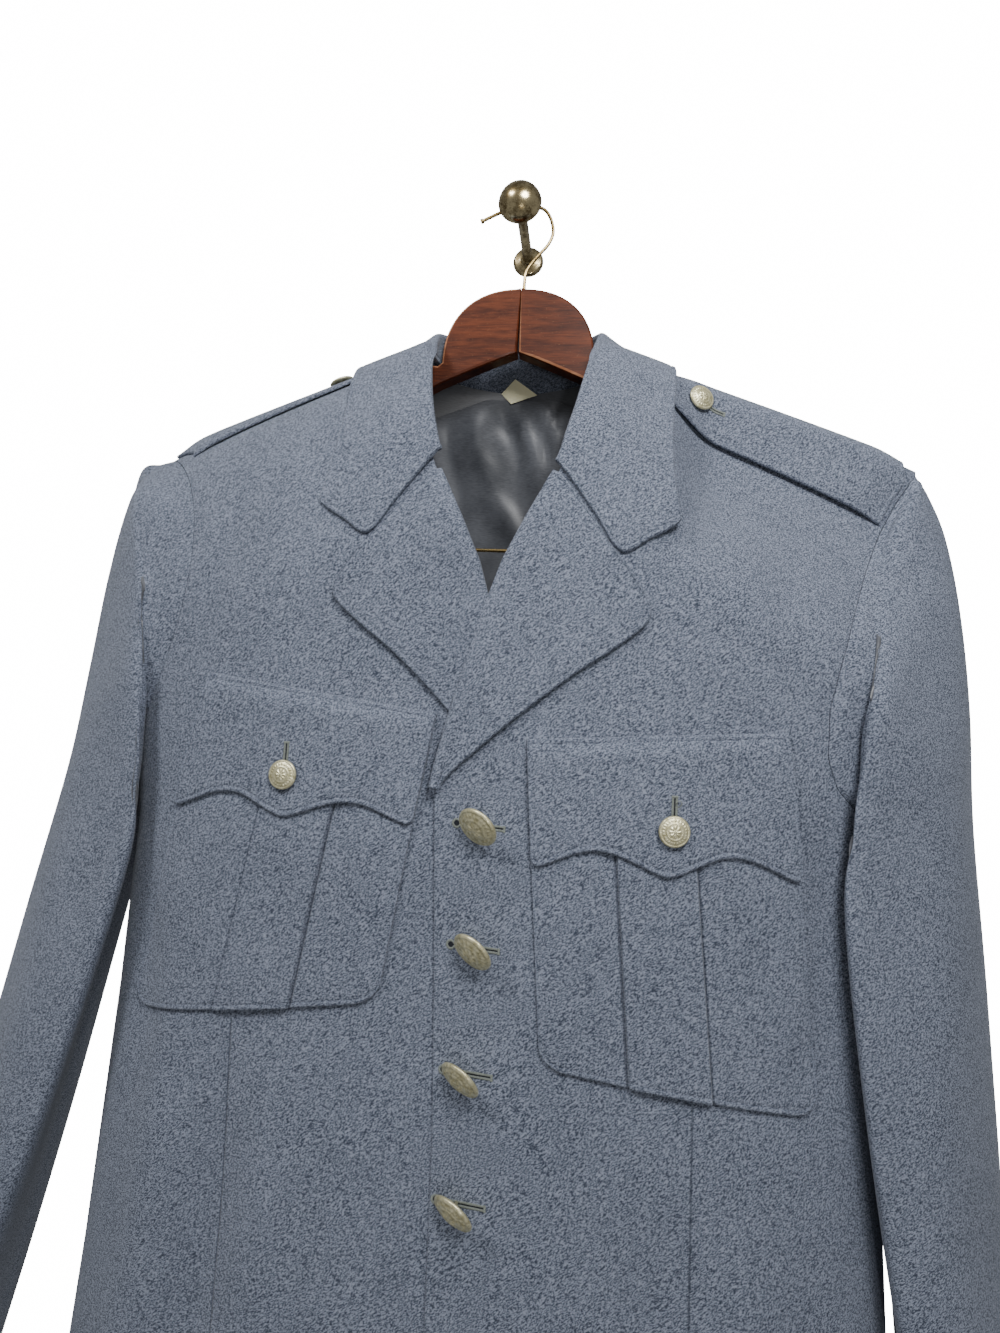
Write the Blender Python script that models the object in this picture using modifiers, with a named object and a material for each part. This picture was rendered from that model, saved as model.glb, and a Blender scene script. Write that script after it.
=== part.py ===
"""A service dress jacket of wool serge, hung on a wooden hanger from a brass wall knob.

Lengths are millimetres in the garment's own frame and become metres when a mesh is made: x runs to
the viewer's right, f forward from the plane of the hanger, z up. The part's origin is the centre of
the knob's wall face. The cloth lies on one torso form: a rounded-box section at each height, closed
over the shoulders by a quarter-ellipse crown that starts at the shoulder ridge.
"""

import math
from collections import namedtuple

import bmesh
import bpy
from mathutils import Matrix, Vector

GARMENT_AT = Vector((3.0, -53.0, -7.0))
METRE = 0.001
SEAM = 0.4
CLOTH = 2.0
LAID_CLOTH = 1.8
LINING_CLOTH = 1.0

NECK_HALF = 62.0
NECK_POINT_Z = -94.0
NECK_SLOPE = 0.38
RIGHT_SLOPE = 0.37
LEFT_SLOPE = 0.40
SHOULDER_DROOP = 5.0
DROOP_FROM = 190.0
DROOP_SPAN = 50.0
CROWN_HEIGHT = 150.0
STEEP_FROM_X = 78.0
STEEP_BY_X = 125.0
STEEP_LEDGE = 0.18
NEAR_RIDGE = 0.3
NEAR_SIDE = 0.9
HEM_Z = -853.0

ARM_TOP_Z = -165.0
ARM_LOW_Z = -378.0
ARM_FRONT = 57.0
ARM_BACK = 32.0
ARM_HOLE_X = 260.0

UNDERLAP_X = 17.0
LEFT_RISE = 7.0

Girth = namedtuple("Girth", "z half_width front back roundness")
GIRTHS = (
    Girth(-880.0, 252.0, 80.0, 42.0, 2.6),
    Girth(-650.0, 235.0, 77.0, 40.0, 2.6),
    Girth(-500.0, 227.0, 76.0, 40.0, 2.6),
    Girth(-400.0, 223.0, 78.0, 42.0, 2.7),
    Girth(-300.0, 234.0, 75.0, 44.0, 2.8),
    Girth(-200.0, 246.0, 71.0, 46.0, 2.8),
    Girth(-60.0, 250.0, 68.0, 48.0, 2.8),
)

# The edge of each front: neck seam, then roll line down to the break, then the closing edge.
Edge = namedtuple("Edge", "z x")
FRONT_EDGE = (
    Edge(-853.0, -6.0),
    Edge(-548.0, -12.5),
    Edge(-450.0, -17.5),
    Edge(-368.0, -22.5),
    Edge(-335.0, -16.0),
    Edge(-300.0, -8.0),
    Edge(-270.0, 0.0),
    Edge(-241.0, 8.5),
    Edge(-217.0, 19.5),
    Edge(-184.0, 36.5),
    Edge(-166.0, 41.5),
    Edge(-145.0, 46.5),
    Edge(-123.0, 51.0),
    Edge(-104.0, 55.0),
    Edge(-96.0, 59.0),
)

# The front of the armhole on the viewer's right, where the steep shoulder carries it.
RIGHT_ARMHOLE = (
    Edge(-378.0, 224.4),
    Edge(-375.0, 217.0),
    Edge(-368.0, 204.0),
    Edge(-355.0, 190.0),
    Edge(-339.0, 184.0),
    Edge(-313.0, 184.0),
    Edge(-288.0, 190.0),
    Edge(-263.0, 198.0),
    Edge(-236.0, 208.5),
    Edge(-206.0, 222.0),
    Edge(-182.0, 235.0),
    Edge(-170.0, 243.0),
    Edge(-165.0, 247.6),
)

# The collar's stations from the centre back round to the gorge: points are (x, f, z) on its
# under side; clear is how far that side stays off the shoulder's cloth.
Station = namedtuple("Station", "seam crest middle edge clear")
COLLAR_STATIONS = (
    Station((0, -32, -101), (0, -36, -68), (0, -43, -92), (0, -46, -118), 1.2),
    Station((27, -29, -101), (27, -33, -69), (34, -41, -92), (40, -44, -116), 1.2),
    Station((46, -17, -98), (46, -15, -72), (62, -26, -91), (74, -33, -112), 4.5),
    Station((54, 4, -96), (53.5, 3, -78), (74, -3, -91), (92, -10, -106), 5.0),
    Station((54, 28, -103), (50.5, 26, -98), (75, 25, -106), (97, 18, -117), 5.4),
    Station((50, 45, -123), (47, 47, -123), (73, 47, -135), (97, 41, -144), 1.2),
    Station((45.5, 56, -145), (43, 58, -146), (70, 60, -163), (97, 55, -169), 0.6),
    Station((40.5, 62, -166), (38.5, 65, -168), (68, 67, -200), (99, 62, -195), 0.6),
    Station((35.5, 66, -184), (34, 68, -184.5), (70.5, 70, -234.5), (103, 66, -217), 0.6),
)

# The lapel from the gorge down to the break: the roll line and the outer edge.
LapelRow = namedtuple("LapelRow", "roll_x roll_z edge_x edge_z")
LAPEL_ROWS = (
    LapelRow(34.2, -188.0, 71.5, -239.0),
    LapelRow(31.0, -194.0, 80.0, -251.5),
    LapelRow(26.0, -204.0, 87.0, -263.5),
    LapelRow(20.0, -216.0, 85.5, -273.0),
    LapelRow(9.0, -240.0, 70.0, -286.5),
    LapelRow(0.5, -268.0, 48.0, -302.5),
    LapelRow(-7.5, -298.0, 22.0, -324.0),
    LapelRow(-14.5, -328.0, -1.0, -345.0),
    LapelRow(-20.5, -356.0, -16.0, -360.0),
)
LAPEL_BREAK = LapelRow(-22.2, -366.5, -20.4, -368.5)

# The four corners of each breast pocket with its flap, as (x, z).
PocketPlace = namedtuple("PocketPlace", "side inner_top outer_top inner_low outer_low")
POCKET_PLACES = (
    PocketPlace("right", (25.5, -337.0), (161.5, -326.0), (41.0, -504.0), (184.0, -522.0)),
    PocketPlace("left", (-24.5, -326.0), (-160.0, -309.5), (-46.0, -480.0), (-200.0, -506.0)),
)
FLAP_CREST = 0.335
FLAP_POINT = 0.395
POCKET_TOP = 0.07
PLEAT_FROM = 0.32
PLEAT_TO = 0.61
PLEAT_RISE = 1.4
POCKET_LIFT = 0.7
POCKET_CLOTH = 1.5
POCKET_CORNER = 0.085

# Each sleeve is a row of rings: the ends of its section nearest to and farthest from the body,
# its front and back reach, and how far the front fold lies toward the body.
Ring = namedtuple("Ring", "outer_x outer_z inner_x inner_z front back front_in")
SLEEVE_RINGS = (
    Ring(248.0, -178.0, 222.0, -382.0, 57.0, -36.0, 30.0),
    Ring(258.0, -204.0, 223.0, -388.0, 60.0, -38.0, 38.0),
    Ring(267.0, -248.0, 225.0, -398.0, 62.0, -40.0, 46.0),
    Ring(275.0, -308.0, 227.0, -414.0, 64.0, -42.0, 54.0),
    Ring(281.0, -376.0, 229.0, -440.0, 64.0, -43.0, 58.0),
    Ring(290.0, -470.0, 234.0, -508.0, 63.0, -42.0, 54.0),
    Ring(298.0, -570.0, 240.0, -592.0, 60.0, -40.0, 44.0),
    Ring(305.0, -672.0, 248.0, -682.0, 57.0, -36.0, 30.0),
    Ring(311.0, -766.0, 257.0, -766.0, 54.0, -32.0, 18.0),
)
SLEEVE_SPLAY = {"right": 0.0, "left": 0.12}
SPLAY_FROM_Z = -340.0
SLEEVE_SIDES = 24
HEAD_FRONT = 0.42
SLEEVE_CLEAR = 2.4
UNDERARM_CLEAR = 2.0

# The shoulder straps: how far in front of the ridge the middle runs at the sleeve and the collar.
StrapPlace = namedtuple("StrapPlace", "side at_sleeve at_collar sleeve_x lift")
STRAP_PLACES = (StrapPlace("right", 26.5, 22.0, 238.0, 2.7), StrapPlace("left", 6.0, 5.0, 228.0, 1.2))
STRAP_COLLAR_X = 86.0
STRAP_END_LIFT = 1.2
STRAP_SLEEVE_HALF = 25.0
STRAP_COLLAR_HALF = 21.0
STRAP_ARCH = 1.6
STRAP_CLOTH = 1.5
STRAP_SEAM = 3.0
STRAP_BUTTON_X = 114.0

FRONT_BUTTON_RADIUS = 11.45
SMALL_BUTTON_RADIUS = 7.95
FRONT_BUTTON_STAND = 9.4
SMALL_BUTTON_STAND = 2.6
FrontButton = namedtuple("FrontButton", "x z face_x face_f face_z")
FRONT_BUTTONS = (
    FrontButton(3.3, -384.0, -0.44, 0.72, -0.54),
    FrontButton(4.3, -446.5, -0.47, 0.68, -0.56),
    FrontButton(1.6, -510.5, -0.47, 0.66, -0.58),
    FrontButton(2.0, -574.5, -0.45, 0.70, -0.55),
)

HANGER_THICK = 12.0
HUMP_HALF = 49.5
HUMP_LOW_Z = -96.5
HUMP_HIGH = 50.0
HUMP_SQUARE = 2.3
ARM_DROP = 4.3
HANGER_LOW = ((221.0, -181.0), (217.0, -191.0), (200.0, -182.5), (110.0, -143.5), (50.0, -110.5))
NOTCH = (0.0, -89.4)
BAR_Z = -219.0
BAR_HALF = 178.0
BAR_RADIUS = 1.15
WIRE_RADIUS = 1.1
HOOK_ROUTE = (
    (1.4, -46.1), (1.3, -39.6), (1.9, -32.8), (4.9, -27.0), (10.5, -19.8), (15.5, -13.7),
    (18.1, -7.5), (18.2, -2.0), (16.0, 5.2), (12.1, 10.6), (5.5, 13.2), (-3.0, 13.6),
    (-11.0, 12.4), (-19.3, 8.6), (-30.2, 3.4),
)

# The knob, turned about its own axis: radius and distance from the wall.
KNOB_PROFILE = (
    (0.0, 76.5), (5.5, 75.9), (9.8, 74.0), (12.8, 70.8), (13.9, 66.6), (13.0, 63.6), (8.0, 61.6),
    (5.2, 59.0), (5.0, 51.0), (3.4, 48.0), (3.4, 6.0), (5.0, 3.6), (9.5, 3.0), (11.0, 2.0), (11.0, 0.0),
    (0.0, 0.0),
)
BUTTON_PROFILE = (
    (0.0, 0.27), (0.45, 0.24), (0.80, 0.13), (0.97, 0.02), (1.0, -0.06), (0.93, -0.12), (0.0, -0.14),
)

GREY_BLUE = (0.135, 0.165, 0.235)
CHARCOAL = (0.030, 0.033, 0.040)
CREAM = (0.72, 0.66, 0.50)
OLD_BRASS = (0.62, 0.55, 0.38)
WIRE_BRASS = (0.72, 0.58, 0.32)
KNOB_BRASS = (0.30, 0.21, 0.10)
MAHOGANY = (0.085, 0.018, 0.010)


def clear_scene():
    for found in list(bpy.data.objects):
        bpy.data.objects.remove(found, do_unlink=True)


def make_material(name, color, roughness, metallic=0.0):
    material = bpy.data.materials.new(name)
    material.use_nodes = True
    shader = material.node_tree.nodes["Principled BSDF"]
    shader.inputs["Base Color"].default_value = (*color, 1.0)
    shader.inputs["Roughness"].default_value = roughness
    shader.inputs["Metallic"].default_value = metallic
    return material


def in_metres(point):
    x, f, z = point
    return Vector((GARMENT_AT.x + x, GARMENT_AT.y - f, GARMENT_AT.z + z)) * METRE


def between(rows, z):
    """The row for this height, read between the two nearest rows of a table that starts lowest."""
    if z <= rows[0].z:
        return rows[0]
    for low, high in zip(rows, rows[1:]):
        if z <= high.z:
            share = (z - low.z) / (high.z - low.z)
            return type(low)(*(a + (b - a) * share for a, b in zip(low, high)))
    return rows[-1]


def smooth(value, start, end):
    share = min(max((value - start) / (end - start), 0.0), 1.0)
    return share * share * (3.0 - 2.0 * share)


def through(points, steps):
    """Points along a smooth curve through these ones, with steps pieces between each pair."""
    knots = [Vector(p) for p in points]
    knots = [2 * knots[0] - knots[1], *knots, 2 * knots[-1] - knots[-2]]
    found = []
    for a, b, c, d in zip(knots, knots[1:], knots[2:], knots[3:]):
        for step in range(steps):
            t = step / steps
            curve = 2 * b + (c - a) * t + (2 * a - 5 * b + 4 * c - d) * t**2
            found.append((curve + (3 * b - a - 3 * c + d) * t**3) / 2)
    return [*found, knots[-2]]


def ridge(x):
    """Height of the shoulder line, which is held straighter on the viewer's right."""
    over = abs(x) - NECK_HALF
    slope = (RIGHT_SLOPE if x > 0 else LEFT_SLOPE) if over > 0 else NECK_SLOPE
    droop = SHOULDER_DROOP * max(0.0, (-x - DROOP_FROM) / DROOP_SPAN) ** 2
    return NECK_POINT_Z - over * slope - droop


def crown(drop, x, face):
    """The share of the full depth reached this far below the ridge."""
    down = min(max(drop, 0.0), CROWN_HEIGHT)
    left = 1.0 - down / CROWN_HEIGHT
    full = math.sqrt(1.0 - left * left)
    steep = smooth(x, STEEP_FROM_X, STEEP_BY_X) if face > 0 else 0.0
    ledge = 1.0 - min(down / 10.0, 1.0)
    fall = STEEP_LEDGE * math.sqrt(1.0 - ledge * ledge)
    fall += (1.0 - STEEP_LEDGE) * smooth(down, 5.0, CROWN_HEIGHT) ** 1.3
    return full + (fall - full) * steep


def depth(x, z, face):
    """How far the torso's front (face 1) or back (face -1) lies from the plane of the hanger."""
    girth = between(GIRTHS, z)
    reach = girth.front if face > 0 else girth.back
    across = min(abs(x) / girth.half_width, 1.0) ** girth.roundness
    return face * reach * (1.0 - across) ** (1.0 / girth.roundness) * crown(ridge(x) - z, x, face)


def excess(x, f, z):
    """Above zero outside the torso form, and below it inside."""
    girth = between(GIRTHS, z)
    reach = girth.front if f >= 0 else girth.back
    across = (abs(x) / girth.half_width) ** girth.roundness
    fall = (ridge(x) - z) / CROWN_HEIGHT
    if fall < NEAR_RIDGE and across < NEAR_SIDE:
        wide = reach * (1.0 - across) ** (1.0 / girth.roundness)
        if f >= 0 and x > STEEP_FROM_X:
            drop = ridge(x) - z
            return f / wide - (crown(drop, x, 1) if drop > 0 else drop * 0.05)
        return math.hypot(f / wide, 1.0 - fall) - 1.0
    share = max(crown(ridge(x) - z, x, 1 if f >= 0 else -1), 0.02)
    along = (abs(f) / (reach * share)) ** girth.roundness
    return (across + along) ** (1.0 / girth.roundness) - 1.0


def outward(point):
    """The excess form's gradient: its direction leads straight out of the torso."""
    x, f, z = point
    step = 0.05
    return Vector((
        excess(x + step, f, z) - excess(x - step, f, z),
        excess(x, f + step, z) - excess(x, f - step, z),
        excess(x, f, z + step) - excess(x, f, z - step),
    )) / (2.0 * step)


def push_out(point, clear):
    """Moves a point straight out until it is this far clear of the torso form."""
    moved = Vector(point)
    for _ in range(16):
        gradient = outward(moved)
        short = clear - excess(*moved) / gradient.length
        if short < 0.01:
            break
        moved += gradient.normalized() * min(short, 4.0)
    return moved


def ridge_x(z, side):
    """How far out the shoulder ridge passes this height."""
    low, high = 0.0, 400.0
    for _ in range(40):
        middle = (low + high) / 2
        low, high = (middle, high) if ridge(side * middle) > z else (low, middle)
    return low


def side_x(z, side):
    return min(between(GIRTHS, z).half_width, ridge_x(z, side))


def arm_reach(z, face):
    """How far the armhole's edge lies before or behind the plane of the hanger at this height."""
    middle = (ARM_TOP_Z + ARM_LOW_Z) / 2
    share = (z - middle) / (ARM_TOP_Z - middle)
    return (ARM_FRONT if face > 0 else ARM_BACK) * math.sqrt(max(0.0, 1.0 - share * share))


def outer_x(z, face, side):
    """The outer end of a panel's row: shoulder seam, armhole or side seam, from the top down."""
    end = side_x(z, side)
    if not ARM_LOW_Z < z < ARM_TOP_Z:
        return end
    if face > 0 and side > 0:
        return min(between(RIGHT_ARMHOLE, z).x, end)
    low, high = 60.0, end
    for _ in range(40):
        middle = (low + high) / 2
        inside = abs(depth(side * middle, z, face)) > arm_reach(z, face)
        low, high = (middle, high) if inside else (low, middle)
    return low


def panel_heights():
    """Row heights from the neck down: close together at the shoulder and round the armhole."""
    shoulder = [-96.0, -101.0, -108.0, -117.0, -128.0, -140.0, -152.0]
    middle = (ARM_TOP_Z + ARM_LOW_Z) / 2
    half = (ARM_TOP_Z - ARM_LOW_Z) / 2
    arm = [middle + half * math.cos(math.pi * step / 12) for step in range(13)]
    skirt_rows = 9
    skirt = [ARM_LOW_Z + (HEM_Z - ARM_LOW_Z) * ((step + 1) / skirt_rows) ** 1.15 for step in range(skirt_rows)]
    return shoulder + arm + skirt


def tuck(side, x, z):
    """How far the under front lies beneath the form where the top front and lapels cross it."""
    if side > 0:
        return 0.0
    layers = 2.7 + 3.2 * smooth(z, -400.0, -350.0)
    ramp = min(max((x + 54.0) / 32.0, 0.0), 1.0)
    return layers * ramp * (1.0 - smooth(z, -262.0, -215.0))


def torso_point(x, z, face, lift=0.0, side=1):
    """A point on the torso form at this place, moved straight out by lift."""
    f = depth(x, z, face)
    if abs(f) < SEAM:
        f = face * SEAM / 2
    flat = Vector((x, f, z))
    normal = outward(flat)
    if abs(x) < SEAM:
        normal.x = 0.0
    normal.normalize()
    if z > ARM_TOP_Z - 1.0 and abs(x) > ridge_x(z, 1 if x > 0 else -1) - 0.5:
        flat = Vector((x, face * SEAM / 2, ridge(x)))
        normal = Vector((math.copysign(LEFT_SLOPE, x), 0.0, 1.0)).normalized()
    down = tuck(side, x, z) if face > 0 else 0.0
    return flat + normal * (lift - down)


def sheet_mesh(name, under, over, wrap=False):
    """A closed wall between two like grids of points: its under side and its upper side."""
    mesh = bpy.data.meshes.new(name)
    build = bmesh.new()
    sides = [[[build.verts.new(in_metres(p)) for p in row] for row in grid] for grid in (under, over)]
    rows, columns = len(under), len(under[0])
    spans = columns if wrap else columns - 1
    for grid in sides:
        for row in range(rows - 1):
            for column in range(spans):
                after = (column + 1) % columns
                corners = (grid[row][column], grid[row][after], grid[row + 1][after], grid[row + 1][column])
                build.faces.new(corners)
    low, high = sides
    rim = [[(row, column) for column in range(columns)] for row in (0, rows - 1)]
    if not wrap:
        rim += [[(row, column) for row in range(rows)] for column in (0, columns - 1)]
    for line in rim:
        ends = line[1:] + line[:1] if wrap else line[1:]
        for (r0, c0), (r1, c1) in zip(line, ends):
            build.faces.new((low[r0][c0], low[r1][c1], high[r1][c1], high[r0][c0]))
    bmesh.ops.recalc_face_normals(build, faces=build.faces)
    build.to_mesh(mesh)
    build.free()
    return mesh


def thicken(grid, thickness, wrap=False, flip=False):
    """The grid moved along its own normals, taken from its neighbouring points."""
    rows, columns = len(grid), len(grid[0])
    moved = []
    for r in range(rows):
        line = []
        for c in range(columns):
            before, after = (c - 1, (c + 1) % columns) if wrap else (max(c - 1, 0), min(c + 1, columns - 1))
            along = Vector(grid[r][after]) - Vector(grid[r][before])
            down = Vector(grid[min(r + 1, rows - 1)][c]) - Vector(grid[max(r - 1, 0)][c])
            normal = along.cross(down).normalized()
            line.append(Vector(grid[r][c]) + normal * (-thickness if flip else thickness))
        moved.append(line)
    return moved


def add_object(name, mesh, material, collection, sharp=35.0):
    made = bpy.data.objects.new(name, mesh)
    mesh.materials.clear()
    mesh.materials.append(material)
    mesh.shade_smooth()
    mesh.set_sharp_from_angle(angle=math.radians(sharp))
    collection.objects.link(made)
    return made


def add_panel(name, face, side, inner_edge, material, collection):
    """One shell panel from its inner edge to the shoulder, armhole and side seam."""
    spans = 15 if face > 0 and side > 0 else 10
    outer_rows, inner_rows = [], []
    for z in panel_heights():
        start, end = inner_edge(z), side * outer_x(z, face, side)
        row = [start + (end - start) * math.sin(math.pi / 2 * step / spans) for step in range(spans + 1)]
        outer_rows.append([torso_point(x, z, face, 0.0, side) for x in row])
        inner_rows.append([torso_point(x, z, face, -CLOTH, side) for x in row])
    return add_object(name, sheet_mesh(name, inner_rows, outer_rows), material, collection)


def front_edge(side):
    def inner(z):
        edge = between(FRONT_EDGE, z).x
        return edge if side > 0 else min(-edge, UNDERLAP_X)
    return inner


def back_edge(side):
    """The back neck seam, then the centre-back seam."""
    def inner(z):
        hollow = 56.0 * math.sqrt(max(0.0, 1.0 - ((-96.0 - z) / 6.5) ** 2)) if z > -102.5 else 0.0
        return side * max(hollow, SEAM / 2)
    return inner


def sleeve_start(side):
    """Both sides of the sleeve's first ring, laid along the armhole with the seam's gap."""
    edge, below = [], []
    middle, half = (ARM_TOP_Z + ARM_LOW_Z) / 2, (ARM_TOP_Z - ARM_LOW_Z) / 2
    for step in range(SLEEVE_SIDES):
        angle = 2 * math.pi * step / SLEEVE_SIDES
        face = 1 if math.sin(angle) >= 0 else -1
        z = middle + half * math.cos(angle)
        x = side * outer_x(z, face, side)
        edge.append(torso_point(x, z, face))
        below.append(torso_point(x, z, face, -LAID_CLOTH))
    outer, inner = [], []
    hole = Vector((side * ARM_HOLE_X, 0.0, middle))
    for step, point in enumerate(edge):
        along = edge[(step + 1) % SLEEVE_SIDES] - edge[step - 1]
        away = along.cross(point - below[step]).normalized()
        away *= math.copysign(1.0, away.dot(hole - point))
        outer.append(point + away * SEAM)
        inner.append(below[step] + away * (SEAM + 0.5))
    return outer, inner


def sleeve_clear(point, side):
    """How far a sleeve stays off the body: more under the arm, where its rings span a round side."""
    under = UNDERARM_CLEAR * smooth(-point.z, 345.0, 375.0) if side > 0 else 0.0
    return SLEEVE_CLEAR + under


def sleeve_ring(ring, side, splay):
    outer = Vector((ring.outer_x + splay * max(0.0, SPLAY_FROM_Z - ring.outer_z), 0.0, ring.outer_z))
    inner = Vector((ring.inner_x + splay * max(0.0, SPLAY_FROM_Z - ring.inner_z), 0.0, ring.inner_z))
    if side > 0:
        outer.x += 6.0 * (1.0 - smooth(-ring.outer_z, 190.0, 420.0))
    centre, half = (outer + inner) / 2, (outer - inner) / 2
    points = []
    for step in range(SLEEVE_SIDES):
        angle = 2 * math.pi * step / SLEEVE_SIDES
        turn = math.sin(angle)
        reach = ring.front * turn if turn > 0 else -ring.back * turn
        shift = -ring.front_in * max(turn, 0.0) ** 1.5
        point = centre + half * math.cos(angle) + Vector((shift, reach, 0.0))
        point.x *= side
        if side > 0 and point.y > 0:
            point.y *= HEAD_FRONT + (1.0 - HEAD_FRONT) * smooth(-point.z, 190.0, 310.0)
        points.append(push_out(point, sleeve_clear(point, side)))
    return points


def add_sleeve(name, side_name, material, collection):
    side = 1 if side_name == "right" else -1
    start, start_inner = sleeve_start(side)
    rings = [sleeve_ring(ring, side, SLEEVE_SPLAY[side_name]) for ring in SLEEVE_RINGS]
    eased = [a * 0.62 + b * 0.38 for a, b in zip(start, rings[0])]
    outer = [start, [push_out(p, sleeve_clear(p, side)) for p in eased], *rings]
    inner = thicken(outer, LAID_CLOTH, wrap=True, flip=side < 0)
    inner[0] = start_inner
    return add_object(name, sheet_mesh(name, inner, outer, wrap=True), material, collection)


def collar_row(station, side):
    """One section of the collar, on its under side: neck seam, crest, and down to the edge.

    Both sides clear the left shoulder's fuller form, because the collar's leaf is the same on both.
    """
    lift = LEFT_RISE if side < 0 else 0.0
    placed = []
    for point in (station.seam, station.crest, station.middle, station.edge):
        x, f, z = point
        rise = lift * smooth(-z, 120.0, 200.0)
        placed.append(Vector((-x, f, z + rise)))
    seam, crest, middle, edge = placed
    under_crest = seam.lerp(crest, 0.6)
    fold = crest.lerp(middle, 0.18) + Vector((0.0, 0.0, 0.8))
    path = through([seam, under_crest, crest, fold], 2)
    path += [fold.lerp(middle, 0.5), middle, middle.lerp(edge, 0.5), edge]
    fall_from = 6
    path = [push_out(p, station.clear) if n >= fall_from else p for n, p in enumerate(path)]
    return [Vector((-side * p.x, p.y, p.z)) for p in path]


def add_collar(material, collection):
    columns = ("seam", "crest", "middle", "edge")
    curves = [through([getattr(s, c) for s in COLLAR_STATIONS], 2) for c in columns]
    clears = through([(s.clear, 0, 0) for s in COLLAR_STATIONS], 2)
    rows = [Station(*(curve[n] for curve in curves), clears[n].x) for n in range(len(clears))]
    path = [collar_row(row, -1) for row in reversed(rows[1:])] + [collar_row(row, 1) for row in rows]
    return add_object("collar", sheet_mesh("collar", path, thicken(path, LAID_CLOTH)), material, collection)


def lapel_point(row, side, across):
    """A point on the lapel's under side; it turns round the front's edge at the roll line."""
    rise = LEFT_RISE * smooth(-row.roll_z, 340.0, 250.0) if side < 0 else 0.0
    crossing = smooth(row.roll_z, -300.0, -262.0) if side < 0 else 1.0
    x = row.roll_x + (row.edge_x - row.roll_x) * across
    z = row.roll_z + (row.edge_z - row.roll_z) * across + rise * across
    turned = math.exp(-across / 0.05)
    puff = 3.0 * crossing * math.exp(-across / 0.22) * (1.0 - turned)
    lift = 0.9 + puff - turned * 1.6 * crossing
    out = 2.4 * math.exp(-across / 0.08)
    place = torso_point(side * (x - out), z, 1, lift, side)
    return place


def add_lapel(name, side, material, collection):
    rows = (*LAPEL_ROWS, LAPEL_BREAK) if side > 0 else LAPEL_ROWS
    fine = [LapelRow(*p) for p in through_rows(rows, 2)]
    steps = (0.0, 0.035, 0.10, 0.22, 0.42, 0.7, 1.0)
    under = [[lapel_point(row, side, across) for across in steps] for row in fine]
    over = thicken(under, LAID_CLOTH, flip=side < 0)
    return add_object(name, sheet_mesh(name, under, over), material, collection)


def through_rows(rows, steps):
    """A table's rows with steps pieces between each pair, on straight lines."""
    found = []
    for low, high in zip(rows, rows[1:]):
        for step in range(steps):
            share = step / steps
            found.append(tuple(a + (b - a) * share for a, b in zip(low, high)))
    return [*found, tuple(rows[-1])]


def pocket_spot(place, across, down):
    """The x and z inside a pocket's four corners, from its inner top corner."""
    top = Vector(place.inner_top).lerp(Vector(place.outer_top), across)
    low = Vector(place.inner_low).lerp(Vector(place.outer_low), across)
    return top.lerp(low, down)


def laid_grid(place, across_steps, down_at, lift_at, thickness):
    """Both sides of a piece laid on a front, as grids worked out from the front's own points."""
    side = 1 if place.side == "right" else -1
    grids = [[], []]
    for row in range(len(down_at(0.0))):
        lines = [[], []]
        for across in across_steps:
            down = down_at(across)[row]
            spot = pocket_spot(place, across, down)
            for line, extra in zip(lines, (0.0, thickness)):
                lift = lift_at(across, down) + extra
                line.append(torso_point(spot.x, spot.y, 1, lift, side))
        for grid, line in zip(grids, lines):
            grid.append(line)
    return grids


def corner_cut(across, size):
    """How much a rounded lower corner takes off a piece's depth at this place across it."""
    near = min(across, 1.0 - across) / size
    return size * (1.0 - math.sqrt(max(0.0, 1.0 - (1.0 - min(near, 1.0)) ** 2)))


def pocket_rows(across):
    low = 1.0 - corner_cut(across, POCKET_CORNER) * 0.8
    return [POCKET_TOP + (low - POCKET_TOP) * step / 6 for step in range(7)]


def pocket_lift(across, down):
    return POCKET_LIFT + (PLEAT_RISE if PLEAT_FROM <= across <= PLEAT_TO else 0.0)


def flap_rows(across):
    crest = (1.0 - math.cos(4.0 * math.pi * across)) / 2.0
    low = FLAP_POINT - (FLAP_POINT - FLAP_CREST) * crest**1.4 - corner_cut(across, 0.03)
    return [0.0, 0.025, POCKET_TOP - 0.008, low * 0.6, low]


def flap_lift(across, down):
    over_pocket = smooth(down, 0.0, POCKET_TOP - 0.01)
    pleat = PLEAT_RISE * smooth(across, 0.22, PLEAT_FROM) * (1.0 - smooth(across, PLEAT_TO, 0.71))
    return POCKET_LIFT + (POCKET_CLOTH + 0.5 + pleat) * over_pocket


def add_pockets(material, collection):
    pleat_steps = (PLEAT_FROM - 0.006, PLEAT_FROM, 0.47, PLEAT_TO, PLEAT_TO + 0.006)
    pocket_steps = sorted((0.0, 0.012, 0.035, 0.07, 0.18, *pleat_steps, 0.8, 0.93, 0.965, 0.988, 1.0))
    flap_steps = [0.0, 0.012, *(step / 20 for step in range(1, 20)), 0.988, 1.0]
    for place in POCKET_PLACES:
        under, over = laid_grid(place, pocket_steps, pocket_rows, pocket_lift, POCKET_CLOTH)
        name = f"pocket_{place.side}"
        add_object(name, sheet_mesh(name, under, over), material, collection)
        under, over = laid_grid(place, flap_steps, flap_rows, flap_lift, LAID_CLOTH)
        name = f"flap_{place.side}"
        add_object(name, sheet_mesh(name, under, over), material, collection)


def over_shoulder(x, reach):
    """The place on the shoulder this far from the ridge, measured round the cloth; front is plus."""
    face = 1 if reach >= 0 else -1
    left, number, place = abs(reach), 0, Vector((0.0, 0.0))
    while True:
        number += 1
        drop = 0.01 * number * number
        after = Vector((abs(depth(x, ridge(x) - drop, face)), drop))
        step = (after - place).length
        if step >= left:
            place = place.lerp(after, left / step)
            return face * place.x, ridge(x) - place.y
        left -= step
        place = after


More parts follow.
